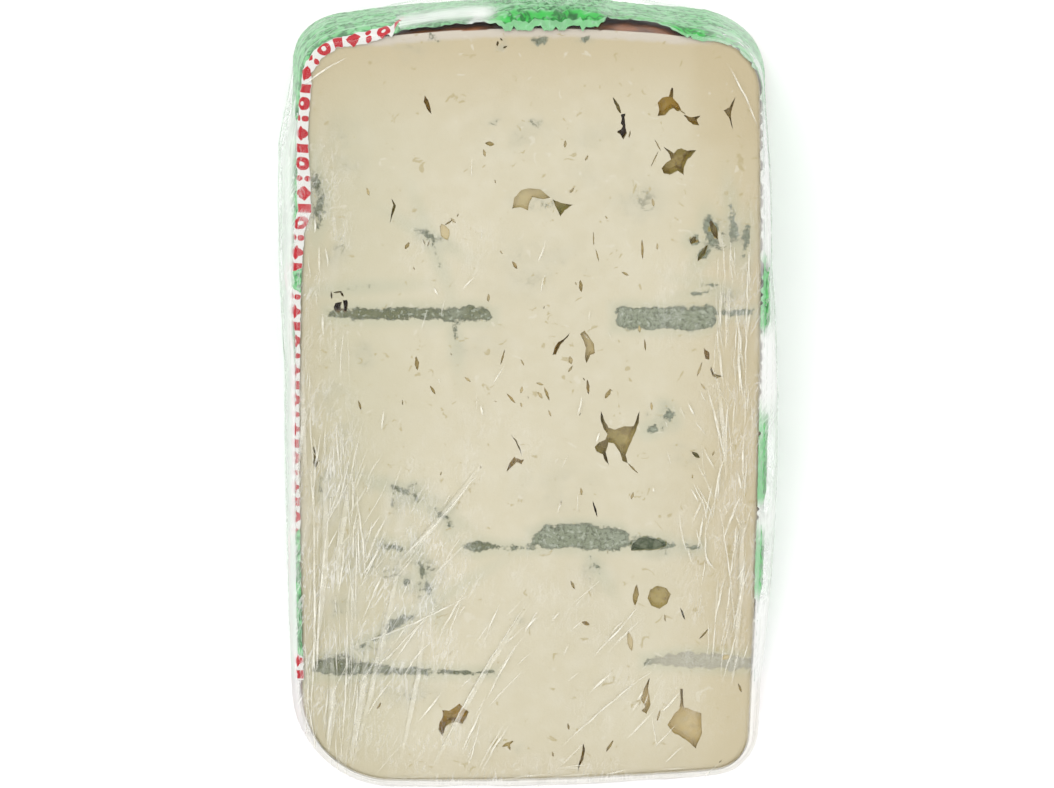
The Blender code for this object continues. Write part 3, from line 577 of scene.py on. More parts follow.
def pasteMaterial():
    material, tree, bsdf = newMaterial("cheesePaste")
    coords = node(tree, "TexCoord", output=3)
    place = node(tree, "SeparateXYZ", {0: coords})
    x, y, z = (place.node.outputs[k] for k in range(3))
    depth, mould, edge, side = (attribute(tree, name) for name in ("gapDepth", "mould", "edge", "side"))
    # the paste: cream, a little yellower in soft patches, greyer on the left, pinker on the right
    colour = mixed(tree, grain(tree, coords, 30, 3), srgb(226, 218, 190), srgb(212, 203, 173))
    colour = mixed(tree, between(tree, grain(tree, coords, 240, 4), 0.35, 0.75, 0, 0.35), colour, srgb(232, 226, 204))
    colour = mixed(tree, between(tree, x, -0.012, -0.042, 0, 0.7), colour, srgb(202, 197, 165))
    colour = mixed(tree, between(tree, x, 0.022, 0.042, 0, 0.7), colour, srgb(207, 192, 153))
    colour = mixed(tree, between(tree, edge, 10, 1.0, 0, 0.35), colour, srgb(203, 190, 156))
    colour = mixed(tree, between(tree, mould, -2.4, 0.0, 0, 0.4), colour, srgb(190, 194, 168))
    colour = mixed(tree, between(tree, y, 0.046, 0.070, 0, 0.8), colour, srgb(206, 190, 152))
    corner = maths(tree, "ADD", maths(tree, "MULTIPLY", between(tree, x, 0.029, 0.033), between(tree, y, 0.043, 0.050)), 0.0)
    colour = mixed(tree, maths(tree, "MULTIPLY", corner, 0.35), colour, srgb(198, 180, 138))
    colour = mixed(tree, between(tree, maths(tree, "ADD", attribute(tree, "nearRind"), maths(tree, "MULTIPLY", grain(tree, coords, 300, 3), 0.5)), 0.62, 0.95, 0, 0.85), colour, srgb(216, 207, 192))
    # hazy grey patches with veins and specks
    haze = attribute(tree, "haze")
    hazy = maths(tree, "MULTIPLY", haze, between(tree, grain(tree, coords, 170, 4, 0.6), 0.38, 0.62))
    colour = mixed(tree, maths(tree, "MULTIPLY", hazy, 0.6, clamp=True), colour, srgb(180, 181, 160))
    vein = maths(tree, "ABSOLUTE", maths(tree, "SUBTRACT", grain(tree, coords, 230, 4, 0.65, 0.6), 0.5))
    veins = maths(tree, "MULTIPLY", between(tree, vein, 0.045, 0.0), between(tree, grain(tree, coords, 260, 2), 0.46, 0.58))
    specks = between(tree, grain(tree, coords, 900, 3, 0.7), 0.58, 0.68)
    dark = maths(tree, "MULTIPLY", maths(tree, "MAXIMUM", veins, specks), between(tree, hazy, 0.15, 0.7), clamp=True)
    colour = mixed(tree, maths(tree, "MULTIPLY", dark, 0.85), colour, srgb(104, 106, 84))
    pits = between(tree, grain(tree, coords, 330, 3, 0.6, 1.2), 0.655, 0.685)
    colour = mixed(tree, maths(tree, "MULTIPLY", pits, 0.6), colour, srgb(184, 168, 118))
    rims = between(tree, grain(tree, coords, 290, 3, 0.6, 1.4), 0.66, 0.68)
    colour = mixed(tree, maths(tree, "MULTIPLY", rims, 0.5), colour, srgb(232, 226, 206))
    # mould, crisp edged and speckled
    ragged = maths(tree, "ADD", mould, maths(tree, "MULTIPLY", maths(tree, "SUBTRACT", grain(tree, coords, 480, 5, 0.7), 0.5), 3.2))
    inMould = between(tree, ragged, -0.2, 0.25)
    leftward = between(tree, x, 0.0, -0.01)
    bloom = mixed(tree, leftward, srgb(143, 150, 124), srgb(114, 117, 82))
    bloom = mixed(tree, between(tree, grain(tree, coords, 140, 2), 0.4, 0.65, 0, 0.4), bloom, srgb(170, 176, 158))
    bloom = mixed(tree, between(tree, grain(tree, coords, 1500, 2, 0.6), 0.5, 0.6, 0, 0.7), bloom, srgb(100, 106, 84))
    bloom = mixed(tree, between(tree, grain(tree, coords, 1200, 2, 0.6), 0.55, 0.64, 0, 0.6), bloom, srgb(190, 196, 178))
    bloom = mixed(tree, between(tree, ragged, 0.8, 0.2, 0, 0.45), bloom, srgb(96, 98, 78))
    faint = maths(tree, "MULTIPLY", between(tree, x, 0.020, 0.026), between(tree, y, -0.044, -0.048))
    bloom = mixed(tree, maths(tree, "MULTIPLY", faint, 0.6), bloom, srgb(204, 196, 176))
    colour = mixed(tree, inMould, colour, bloom)
    # lining of the gaps: olive to gold, with painted shade making it darker on the sides than on the floor
    tone, pale = attribute(tree, "tone"), attribute(tree, "paleness")
    lining = mixed(tree, tone, srgb(158, 152, 78), srgb(200, 156, 0))
    lining = mixed(tree, between(tree, grain(tree, coords, 420, 3), 0.44, 0.66, 0, 0.6), lining, srgb(214, 190, 120))
    lining = mixed(tree, between(tree, grain(tree, coords, 600, 2), 0.48, 0.66, 0, 0.65), lining, srgb(112, 84, 0))
    # paleness paints the lining paler as painted light on a shallow floor, and below zero near-black brown as painted
    # shade in a deep gap
    lining = mixed(tree, between(tree, pale, 0.0, 1.0, 0, 0.9), lining, srgb(216, 200, 156))
    lining = mixed(tree, between(tree, pale, 0.0, -1.0), lining, srgb(74, 48, 16))
    # painted shade on each gap's upper sides, near its mouth
    lining = mixed(tree, between(tree, depth, 0.9, 0.2, 0, 0.3), lining, srgb(134, 106, 30))
    mossy = mixed(tree, between(tree, grain(tree, coords, 900, 3, 0.6), 0.4, 0.6), srgb(80, 92, 62), srgb(124, 132, 104))
    lining = mixed(tree, between(tree, tone, -0.2, -0.8), lining, mossy)
    colour = mixed(tree, between(tree, depth, 0.04, 0.14), colour, lining)
    # walls
    rindColour = mixed(tree, between(tree, grain(tree, coords, 260, 5, 0.6), 0.35, 0.65), srgb(150, 86, 30), srgb(84, 44, 14))
    colour = mixed(tree, side, colour, rindColour)
    bump = node(
        tree,
        "Bump",
        {"Height": maths(tree, "ADD", grain(tree, coords, 700, 4, 0.6), grain(tree, coords, 160, 3)), "Strength": 0.25, "Distance": 0.0003},
    )
    fill(tree, bsdf.inputs["Base Color"], colour)
    fill(tree, bsdf.inputs["Normal"], bump)
    bsdf.inputs["Roughness"].default_value = 0.48
    bsdf.inputs["Subsurface Weight"].default_value = 0.0
    bsdf.inputs["Subsurface Radius"].default_value = (1.0, 0.75, 0.4)
    bsdf.inputs["Subsurface Scale"].default_value = 0.0015
    bsdf.inputs["Specular IOR Level"].default_value = 0.35
    return material


def buildCheese():
    body = newObject("cheeseWedge", cheeseBody())
    cutOut(body, newObject("gapCutters", curdGapCutters()))
    mesh = body.data
    sharpen(mesh, 38)
    places = coordinates(mesh)
    across, fromAxis, up = faceOf(places)
    inside = insideBy(across, fromAxis, outline()[0])
    gap = (inside > 0.0005) & (up < -0.0002) & (places[:, 2] > 0.0005)
    share, tone, pale = (np.zeros(len(places)) for _ in range(3))
    spots = np.stack([across, fromAxis], 1)[gap] / mm
    closest = np.full(len(spots), 1e9)
    for place, depth, itsTone, itsPale, corners in allGaps():
        far = -insideBy(spots[:, 0], spots[:, 1], place + corners)
        nearer = np.nonzero(far < closest)[0]
        closest[nearer] = far[nearer]
        at = np.nonzero(gap)[0][nearer]
        share[at], tone[at], pale[at] = -up[at] / mm / depth, itsTone, itsPale
    share[np.nonzero(gap)[0][closest > 0.35]] = 0
    # the flat wall of the wheel on the left and the round wall at the back carry the rind
    beyond = (~gap) & (up < -0.0004)
    rindward = np.clip((fromAxis - wedge["radius"] + 0.0045) / 0.002, 0, 1)
    leftward = np.clip((-across - 0.0400) / 0.0015, 0, 1)
    setAttribute(mesh, "gapDepth", share)
    setAttribute(mesh, "tone", tone)
    setAttribute(mesh, "paleness", pale)
    setAttribute(mesh, "mould", np.clip(mouldIn(across / mm, fromAxis / mm), -3, 3))
    setAttribute(mesh, "haze", hazeIn(across / mm, fromAxis / mm))
    setAttribute(mesh, "edge", np.clip(inside / mm, 0, 30))
    back = np.where(fromAxis > 0.140, np.clip((0.044 - abs(across)) / 0.016, 0, 1), 0)
    setAttribute(mesh, "nearRind", back * np.clip(1 - inside / mm / 3.2, 0, 1))
    setAttribute(mesh, "side", np.where(beyond, np.maximum(rindward, leftward), 0))
    mesh.materials.clear()
    mesh.materials.append(pasteMaterial())
    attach(body, "root")
    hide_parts("cheese")
    print("cheese:", len(mesh.polygons), "faces, closed:", isClosed(mesh))
    return body


def isClosed(mesh):
    bm = bmesh.new()
    bm.from_mesh(mesh)
    closed = all(e.is_manifold for e in bm.edges)
    bm.free()
    return closed


buildCheese()

# ---- foil: printed, along the left wall, round the rind and back along the right wall

foil = dict(
    startFromAxis=0.022,
    columns=590,
    rows=64,
    shoulderLength=3.4,
    shoulderDrop=2.6,
    lowest=0.004,
    bandWidth=2.4,
    markPitch=2.9,
)
# how the foil lies at places round the wedge: distance from its right hand end (mm), where its
# upper edge is (mm below the face's edge, negative where it laps over the face), how far it
# stands off, how crumpled it is, where the white band starts under the edge, how pale it is
foilStations = (
    (0, 0.3, 0.6, 0.3, 60, 0.95), (16, 0.0, 0.6, 0.4, 60, 0.95), (19, -0.1, 1.0, 0.5, 60, 0.1), (30, -0.1, 1.0, 0.5, 60, 0.0),
    (33, 0.0, 0.6, 0.4, 60, 0.95), (35, 0.0, 0.6, 0.4, 60, 0.95), (37, -0.1, 1.2, 0.4, 60, 0.0), (53, -0.1, 1.2, 0.5, 60, 0.0),
    (57, 0.0, 0.6, 0.4, 60, 0.95), (69, 0.0, 0.6, 0.4, 60, 0.95), (71, -0.1, 1.2, 0.6, 60, 0.0), (82, 0.1, 1.2, 0.5, 60, 0.0),
    (86, 0.0, 0.6, 0.4, 60, 0.95), (112, 0.0, 0.5, 0.3, 60, 0.95), (117, 0.1, 0.4, 0.3, 60, 0.5), (129, -0.1, 0.5, 0.3, 60, 0.3),
    (134, -0.2, 1.0, 0.5, 60, 0.0), (137, 0.0, 1.0, 0.5, 60, 0.0), (142, 6.0, 0.8, 0.4, 60, 0.0), (149, 7.0, 0.8, 0.5, 60, 0.0),
    (152.5, 0.4, 2.0, 1.2, 60, 0.0), (162, -0.1, 2.4, 1.3, 60, 0.0), (170, -0.1, 2.4, 1.3, 60, 0.0), (173, 1.2, 1.6, 0.8, 60, 0.3),
    (175, 2.2, 0.8, 0.6, 60, 0.95), (189, 1.8, 0.8, 0.5, 8, 0.95), (191, 0.2, 1.5, 0.5, 0.0, 0.5), (196, -0.7, 1.4, 0.4, 0.0, 0.0),
    (204, -1.2, 1.0, 0.4, 0.0, 0.0), (212, -0.8, 1.2, 0.3, 0.0, 0.0), (222, -0.6, 1.7, 0.3, 0.0, 0.0), (230, -1.3, 1.7, 0.3, 0.0, 0.0),
    (237, -1.8, 1.7, 0.3, 0.0, 0.0), (241, -0.6, 1.6, 0.3, 0.0, 0.0), (248.4, -0.3, 1.5, 0.4, 0.0, 0.0), (249.2, -0.2, 1.5, 0.4, 3.0, 0.0),
    (251.8, -0.2, 1.5, 0.4, 3.0, 0.0), (252.6, -0.2, 1.5, 0.4, 0.0, 0.0), (257, -0.2, 1.3, 0.3, 0.0, 0.0), (264, -0.25, 0.5, 0.25, 0.0, 0.0),
    (300, -0.25, 0.5, 0.25, 0.0, 0.0), (302, -0.25, 0.5, 0.25, 4.0, 0.0), (324, -0.25, 0.6, 0.25, 4.0, 0.0), (325.4, -0.3, 1.0, 0.3, 0.0, 0.0),
    (340, -0.3, 1.0, 0.3, 0.0, 0.0),
)


def foilPath():
    # the outline from the right wall round the rind to the left wall, evenly spaced
    points, _, (bl, tl, tr, br) = outline()
    closed = np.concatenate([points, points])
    from_ = next(i for i in range(tr, br) if points[i, 1] > foil["startFromAxis"])
    to = next(i for i in range(len(points) + bl, len(closed)) if closed[i, 1] < foil["startFromAxis"])
    line = sampled(closed[from_:to], np.linspace(0, 1, foil["columns"] + 1))
    ahead, behind = np.gradient(line[:, 1]), -np.gradient(line[:, 0])
    outs = np.stack([ahead, behind], 1)
    return line, outs / np.linalg.norm(outs, axis=1, keepdims=True), lengthsAlong(line) / mm


def foilSheet():
    path, pathOuts, run = foilPath()
    stations = np.array(foilStations).T
    edgeAt, standOff, crumple, bandStart, pale = (np.interp(run, stations[0], row) for row in stations[1:])
    ragged = np.array([noise.noise(Vector((r / 2.2, 3.0, 0))) + 0.7 * noise.noise(Vector((r / 0.8, 7.0, 0))) for r in run])
    edgeAt = edgeAt + ragged * np.interp(run, (0, 130, 150, 205, 215, 372), (0.16, 0.3, 0.9, 0.7, 0.2, 0.2))
    bm = bmesh.new()
    nx, ny = foil["columns"], foil["rows"]
    bmesh.ops.create_grid(bm, x_segments=nx, y_segments=ny, size=1.0)
    i = np.array([round((v.co.x + 1) / 2 * nx) for v in bm.verts])
    w = 1 - np.array([round((v.co.y + 1) / 2 * ny) for v in bm.verts]) / ny
    points, outs = path[i], pathOuts[i]
    tall = (points[:, 1] * sinA + wedge["axisMiss"]) / mm
    q = edgeAt[i] + (tall * (1 - foil["lowest"]) - edgeAt[i]) * (0.35 * w + 0.65 * w * w)
    # q is the distance over the edge: the lap on the face, then a shoulder, then the wall
    turn = np.clip(q / foil["shoulderLength"], 0, 1) * math.pi / 2
    past = np.maximum(q - foil["shoulderLength"], 0)
    drop = foil["shoulderDrop"] * (1 - np.cos(turn)) + past
    off = 0.35 + (standOff[i] - 0.35) * np.sin(turn) * np.exp(-past / 14)
    flat = np.stack([run[i] / 2.4, q / 2.4, 0 * q], 1)
    ridges = 1 - 2 * abs(bumps(flat, 1.0, 1)) + 0.5 * (1 - 2 * abs(bumps(flat, 0.42, 4)))
    soft = bumps(flat, 3.2, 8)
    rise = np.maximum(crumple[i] * (0.55 * ridges + 0.5 * soft), 0) * np.where(q < 0.6, 0.25, 1.0)
    places = wallPoint(points, outs, 1 - drop * mm / (tall * mm), (off + rise) * mm)
    lap = q < 0
    inward = points[lap] + outs[lap] * q[lap, None] * mm
    places[lap] = onFace(inward[:, 0], inward[:, 1], 0)
    lift = (0.30 + rise * 0.5) * np.cos(turn) * mm
    places[:, 1] -= lift * sinA
    places[:, 2] += lift * cosA
    for v, co in zip(bm.verts, places):
        v.co = co
    bmesh.ops.recalc_face_normals(bm, faces=bm.faces)
    if bm.faces[0].normal.dot(Vector((places[0][0], places[0][1], 0))) < 0:
        bmesh.ops.reverse_faces(bm, faces=bm.faces)
    mesh = meshFrom(bm, "foil")
    setAttribute(mesh, "along", run[i])
    setAttribute(mesh, "band", q - edgeAt[i] - bandStart[i])
    setAttribute(mesh, "printed", bandStart[i] < 8)
    setAttribute(mesh, "pale", pale[i])
    setAttribute(mesh, "fold", ridges)
    return mesh


def printedMarks(tree, along, down):
    # a row of lozenges, bars, rings and dots, one after the other
    cell = maths(tree, "DIVIDE", along, foil["markPitch"])
    which = maths(tree, "MODULO", maths(tree, "FLOOR", cell), 4.0)
    x = maths(tree, "MULTIPLY", maths(tree, "SUBTRACT", maths(tree, "FRACT", cell), 0.5), foil["markPitch"])
    y = maths(tree, "SUBTRACT", down, foil["bandWidth"] / 2)
    ax, ay = maths(tree, "ABSOLUTE", x), maths(tree, "ABSOLUTE", y)
    lozenge = maths(tree, "SUBTRACT", 1.0, maths(tree, "ADD", maths(tree, "DIVIDE", ax, 1.5), maths(tree, "DIVIDE", ay, 1.5)))
    bar = maths(tree, "MINIMUM", maths(tree, "SUBTRACT", 0.85, ax), maths(tree, "SUBTRACT", 1.15, ay))
    far = maths(tree, "SQRT", maths(tree, "ADD", maths(tree, "MULTIPLY", x, x), maths(tree, "MULTIPLY", y, y)))
    ring = maths(tree, "SUBTRACT", 0.45, maths(tree, "ABSOLUTE", maths(tree, "SUBTRACT", far, 0.85)))
    dy = maths(tree, "SUBTRACT", ay, 0.68)
    dots = maths(tree, "SUBTRACT", 0.58, maths(tree, "SQRT", maths(tree, "ADD", maths(tree, "MULTIPLY", x, x), maths(tree, "MULTIPLY", dy, dy))))
    shapes = 0.0
    for number, shape in enumerate((lozenge, bar, ring, dots)):
        chosen = maths(tree, "COMPARE", which, float(number))
        chosen.node.inputs[2].default_value = 0.5
        shapes = maths(tree, "ADD", shapes, maths(tree, "MULTIPLY", chosen, between(tree, shape, -0.05, 0.08)))
    return shapes


def foilMaterial():
    material, tree, bsdf = newMaterial("printedFoil")
    coords = node(tree, "TexCoord", output=3)
    along, band, pale, fold = (attribute(tree, name) for name in ("along", "band", "pale", "fold"))
    green = mixed(tree, grain(tree, coords, 90, 3), srgb(24, 178, 48), srgb(62, 206, 84))
    outer = between(tree, maths(tree, "ADD", band, maths(tree, "MULTIPLY", grain(tree, coords, 160, 2), 2.0)), -56.6, -55.6)
    green = mixed(tree, maths(tree, "MULTIPLY", outer, 0.75), green, srgb(136, 208, 146))
    # painted shade: dark green lines along the foil's creases
    creaseShade = maths(tree, "ABSOLUTE", maths(tree, "SUBTRACT", grain(tree, coords, 330, 3, 0.6, 0.4), 0.5))
    green = mixed(tree, between(tree, creaseShade, 0.08, 0.0, 0, 0.8), green, srgb(10, 92, 34))
    # painted shade in the low valleys of the crumple, read from the fold height
    green = mixed(tree, between(tree, fold, 0.7, 0.0, 0, 0.85), green, srgb(12, 104, 36))
    stripes = maths(tree, "FRACT", maths(tree, "DIVIDE", maths(tree, "ADD", band, maths(tree, "MULTIPLY", grain(tree, coords, 120), 1.2)), 6.5))
    green = mixed(tree, between(tree, stripes, 0.78, 0.82, 0, 0.75), green, srgb(150, 214, 158))
    # painted highlight, pale green on the high crests of the crumple
    green = mixed(tree, between(tree, fold, 1.15, 1.45, 0, 0.6), green, srgb(180, 232, 190))
    under = between(tree, maths(tree, "ADD", band, maths(tree, "MULTIPLY", grain(tree, coords, 60, 3), 8.0)), -50.0, -44.0, 1.0, 0.1)
    green = mixed(tree, maths(tree, "MULTIPLY", pale, under), green, srgb(242, 246, 240))
    red = mixed(tree, grain(tree, coords, 200, 2), srgb(206, 18, 36), srgb(186, 12, 30))
    white = mixed(tree, printedMarks(tree, along, band), srgb(238, 238, 232), red)
    inBand = maths(tree, "MULTIPLY", between(tree, band, -0.1, 0.05), between(tree, band, foil["bandWidth"] + 0.06, foil["bandWidth"]))
    inBand = maths(tree, "MULTIPLY", inBand, maths(tree, "GREATER_THAN", attribute(tree, "printed"), 0.9))
    fill(tree, bsdf.inputs["Base Color"], mixed(tree, inBand, green, white))
    bsdf.inputs["Metallic"].default_value = 0.15
    bsdf.inputs["Roughness"].default_value = 0.36
    bump = {"Height": grain(tree, coords, 800, 3), "Strength": 0.3, "Distance": 0.0002}
    fill(tree, bsdf.inputs["Normal"], node(tree, "Bump", bump))
    return material


def buildFoil():
    made = newObject("foilWrap", foilSheet(), foilMaterial())
    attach(made, "root")
    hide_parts("foil")
    print("foil:", len(made.data.polygons), "faces")


buildFoil()

# ---- film: clear, round everything, with its creases as thin raised folds

film = dict(
    acrossCells=110,
    alongCells=190,
    levels=40,
    off=1.1,
    lift=0.55,
    slack=(("left", 0.128, 0.045, 1.5), ("right", 0.062, 0.040, 1.6), ("rind", 0.150, 0.060, 0.7)),
    tipTuck=0.55,
    cornerTuck=1.1,  # how much closer it lies at the back left corner
    pleats=0.35,
)
# how milky the film looks over each wall: place along it, near its upper edge, further down,
# and how far down the first gives way to the second (mm)
filmMilk = dict(
    left=((0.0, 0.85, 0.95, 1.0), (0.018, 0.6, 0.95, 0.8), (0.022, 0.1, 0.98, 0.5), (0.050, 0.15, 0.98, 0.5),
          (0.085, 0.1, 0.98, 0.5), (0.095, 0.05, 0.92, 0.8), (0.15, 0.03, 0.85, 0.8)),
    right=((0.0, 0.9, 0.95, 1.6), (0.036, 0.9, 0.95, 1.6), (0.040, 0.15, 0.8, 1.6), (0.050, 0.15, 0.8, 1.6),
           (0.054, 0.85, 0.95, 1.6), (0.058, 0.15, 0.7, 1.6), (0.074, 0.15, 0.7, 1.6), (0.078, 0.9, 0.95, 1.6),
           (0.091, 0.9, 0.95, 1.6), (0.094, 0.15, 0.7, 1.6), (0.103, 0.15, 0.7, 1.6), (0.107, 0.9, 0.95, 1.6),
           (0.135, 0.9, 0.95, 1.6), (0.142, 0.5, 0.9, 1.0), (0.150, 0.4, 0.85, 1.0)),
    rind=((-0.040, 0.1, 0.88, 0.6), (-0.025, 0.1, 0.85, 0.9), (-0.021, 0.0, 0.9, 1.6), (-0.007, 0.0, 0.9, 1.6),
          (-0.0045, 0.02, 0.1, 2.3), (0.012, 0.02, 0.1, 2.3), (0.029, 0.0, 0.05, 2.6), (0.034, 0.2, 0.9, 1.2), (0.040, 0.7, 0.95, 1.0)),
    tip=((-0.040, 0.85, 0.95, 1.6), (0.040, 0.85, 0.95, 1.6)),
)


def sideShares(outs):
    # how much each side's own values count in a direction
    shares = dict(left=-outs[:, 0], right=outs[:, 0], rind=outs[:, 1], tip=-outs[:, 1])
    return {side: np.maximum(part, 0) ** 2 for side, part in shares.items()}


def filmSlack(points, outs):
    # how far the film stands off each wall, in millimetres
    shares = sideShares(outs)
    slack = sum(
        much * shares[side] * np.clip(1 - ((points[:, 1] - middle) / half) ** 2, 0, 1) for side, middle, half, much in film["slack"]
    )
    left = np.clip(1.4 - np.hypot(points[:, 0] + 0.036, points[:, 1] - 0.146) / 0.015, 0, 1)
    right = np.clip(1.4 - np.hypot(points[:, 0] - 0.040, points[:, 1] - 0.144) / 0.018, 0, 1)
    return slack * (1 - left - right) - film["cornerTuck"] * (left + right) - film["tipTuck"] * shares["tip"]


def filmVeil(points, outs, drop):
    # how milky the film is over its walls
    shares = sideShares(outs)
    veil = np.zeros(len(points))
    for side, stations in filmMilk.items():
        at, near, far, clear = np.array(stations).T
        along = points[:, 0] if side in ("rind", "tip") else points[:, 1]
        clear = np.interp(along, at, clear)
        down = np.clip((drop - clear * 0.6) / (clear * 0.8), 0, 1)
        veil += shares[side] * (np.interp(along, at, near) * (1 - down) + np.interp(along, at, far) * down)
    return veil * (1 - 0.92 * np.clip((drop - 6) / 5, 0, 1))


# where the film lies crinkled on the face, its white lines and patches partly whitened film and partly painted
# highlight: place, half sizes, how much (mm)
crinkledSpots = (
    ((-40, 46), (12, 46), 1.0), ((-26, 40), (22, 32), 0.8), ((-26, 10), (24, 14), 0.45), ((22, 24), (20, 18), 0.3),
    ((42, 70), (9, 60), 0.6), ((-40, 112), (9, 26), 0.7), ((4, 42), (16, 12), 0.3), ((38, 42), (12, 26), 0.4),
    ((-6, 68), (12, 10), 0.35), ((30, 100), (14, 12), 0.3), ((-14, 108), (12, 10), 0.3), ((0, 2), (44, 6), 0.5),
)


def crinkled(spots):
    much = np.zeros(len(spots))
    for (x, y), (wide, high), amount in crinkledSpots:
        far = np.hypot((spots[:, 0] - x) / wide, (spots[:, 1] - y) / high)
        much = np.maximum(much, amount * np.clip(1.6 - 1.4 * far, 0, 1))
    return much


def filmSkin():
    bm = bmesh.new()
    order = bm.verts.layers.int.new("order")
    milky, away, below, crinkle = (bm.verts.layers.float.new(name) for name in ("milky", "away", "below", "crinkle"))
    nx, ny = film["acrossCells"], film["alongCells"]
    bmesh.ops.create_grid(bm, x_segments=nx, y_segments=ny, size=1.0)
    columns = np.array([round((v.co.x + 1) / 2 * nx) for v in bm.verts])
    rows = np.array([round((v.co.y + 1) / 2 * ny) for v in bm.verts])
    flat = facePlaces(columns / nx, rows / ny, 0.2 * mm)
    ring = np.zeros((2 * (nx + ny), 2))
    for v, i, j, place in zip(bm.verts, columns, rows, flat):
        if i in (0, nx) or j in (0, ny):
            at = ny - j if i == 0 else ny + i if j == 0 else ny + nx + j if i == nx else ny + nx + ny + nx - i
            v[order] = at
            ring[at] = place
    outs = outwards(ring)
    spots = np.stack([flat[:, 0], flat[:, 1], 0 * flat[:, 0]], 1)
    wrinkle = np.maximum(bumps(spots * (3.0, 0.8, 1.0), 0.012, 2), -0.3) * 0.12 + bumps(spots * (2.0, 0.7, 1), 0.005, 6) * 0.05
    for v, co in zip(bm.verts, onFace(flat[:, 0], flat[:, 1], (film["lift"] + wrinkle) * mm)):
        v.co = co
    rimVeil = filmVeil(ring, outs, np.zeros(len(ring))) * 0.6
    for v, much in zip(bm.verts, crinkled(flat / mm)):
        v[crinkle] = much
    for v, i, j in zip(bm.verts, columns, rows):
        if i in (0, nx) or j in (0, ny):
            v[milky] = rimVeil[v[order]]
    slack = filmSlack(ring, outs)
    run = np.arange(len(ring)) / len(ring) * 480
    edges = [e for e in bm.edges if e.is_boundary]
    for level in range(1, film["levels"] + 1):
        w = level / film["levels"]
        q = 50 * (0.25 * w + 0.75 * w * w)
        made = bmesh.ops.extrude_edge_only(bm, edges=edges)["geom"]
        newVerts = [g for g in made if isinstance(g, bmesh.types.BMVert)]
        edges = [g for g in made if isinstance(g, bmesh.types.BMEdge) and g.is_boundary]
        at = np.array([v[order] for v in newVerts])
        tall = (ring[at, 1] * sinA + wedge["axisMiss"]) / mm
        drop = q / 50 * tall
        turn = np.clip(drop / 2.2, 0, 1) * math.pi / 2
        seen = np.stack([run[at] / 16.0, drop / 2.4, 0 * at], 1)
        pleat = film["pleats"] * (1 - 2.0 * abs(bumps(seen, 1.0, 3))) + 0.12 * bumps(seen * (2.2, 2.2, 1), 1.0, 5)
        off = (film["off"] + slack[at]) * np.sin(turn) + pleat * np.sin(turn)
        off = np.maximum(off, 0.4 * np.sin(turn))
        places = wallPoint(ring[at], outs[at], 1 - drop / tall, off * mm)
        lift = film["lift"] * np.cos(turn) * mm
        places[:, 1] -= lift * sinA
        places[:, 2] += lift * cosA
        places[:, 2] = np.maximum(places[:, 2], 0.0)
        veil = filmVeil(ring[at], outs[at], drop)
        for v, co, milk, o, d in zip(newVerts, places, veil, off, drop):
            v.co = co
            v[milky], v[away], v[below] = milk, o, d
    bmesh.ops.contextual_create(bm, geom=edges)
    bmesh.ops.recalc_face_normals(bm, faces=bm.faces)
    return meshFrom(bm, "film")


def slanted(tree, place, degrees, across, along):
    # places on the face turned, and stretched along the turned direction
    c, s_ = math.cos(math.radians(degrees)), math.sin(math.radians(degrees))
    x, y = place.outputs[0], place.outputs[1]
    u = maths(tree, "ADD", maths(tree, "MULTIPLY", x, c), maths(tree, "MULTIPLY", y, s_))
    v = maths(tree, "SUBTRACT", maths(tree, "MULTIPLY", y, c), maths(tree, "MULTIPLY", x, s_))
    return node(tree, "CombineXYZ", {0: maths(tree, "MULTIPLY", u, across), 1: maths(tree, "MULTIPLY", v, along)})


def crinkleLines(tree, place, degrees, across, along):
    hills = grain(tree, slanted(tree, place, degrees, across, along), 1.0, 2, 0.5, 0.9)
    return between(tree, maths(tree, "ABSOLUTE", maths(tree, "SUBTRACT", hills, 0.5)), 0.035, 0.0)


def crinkleSoft(tree, place):
    return grain(tree, slanted(tree, place, -12, 260, 50), 1.0, 3, 0.55, 0.4)


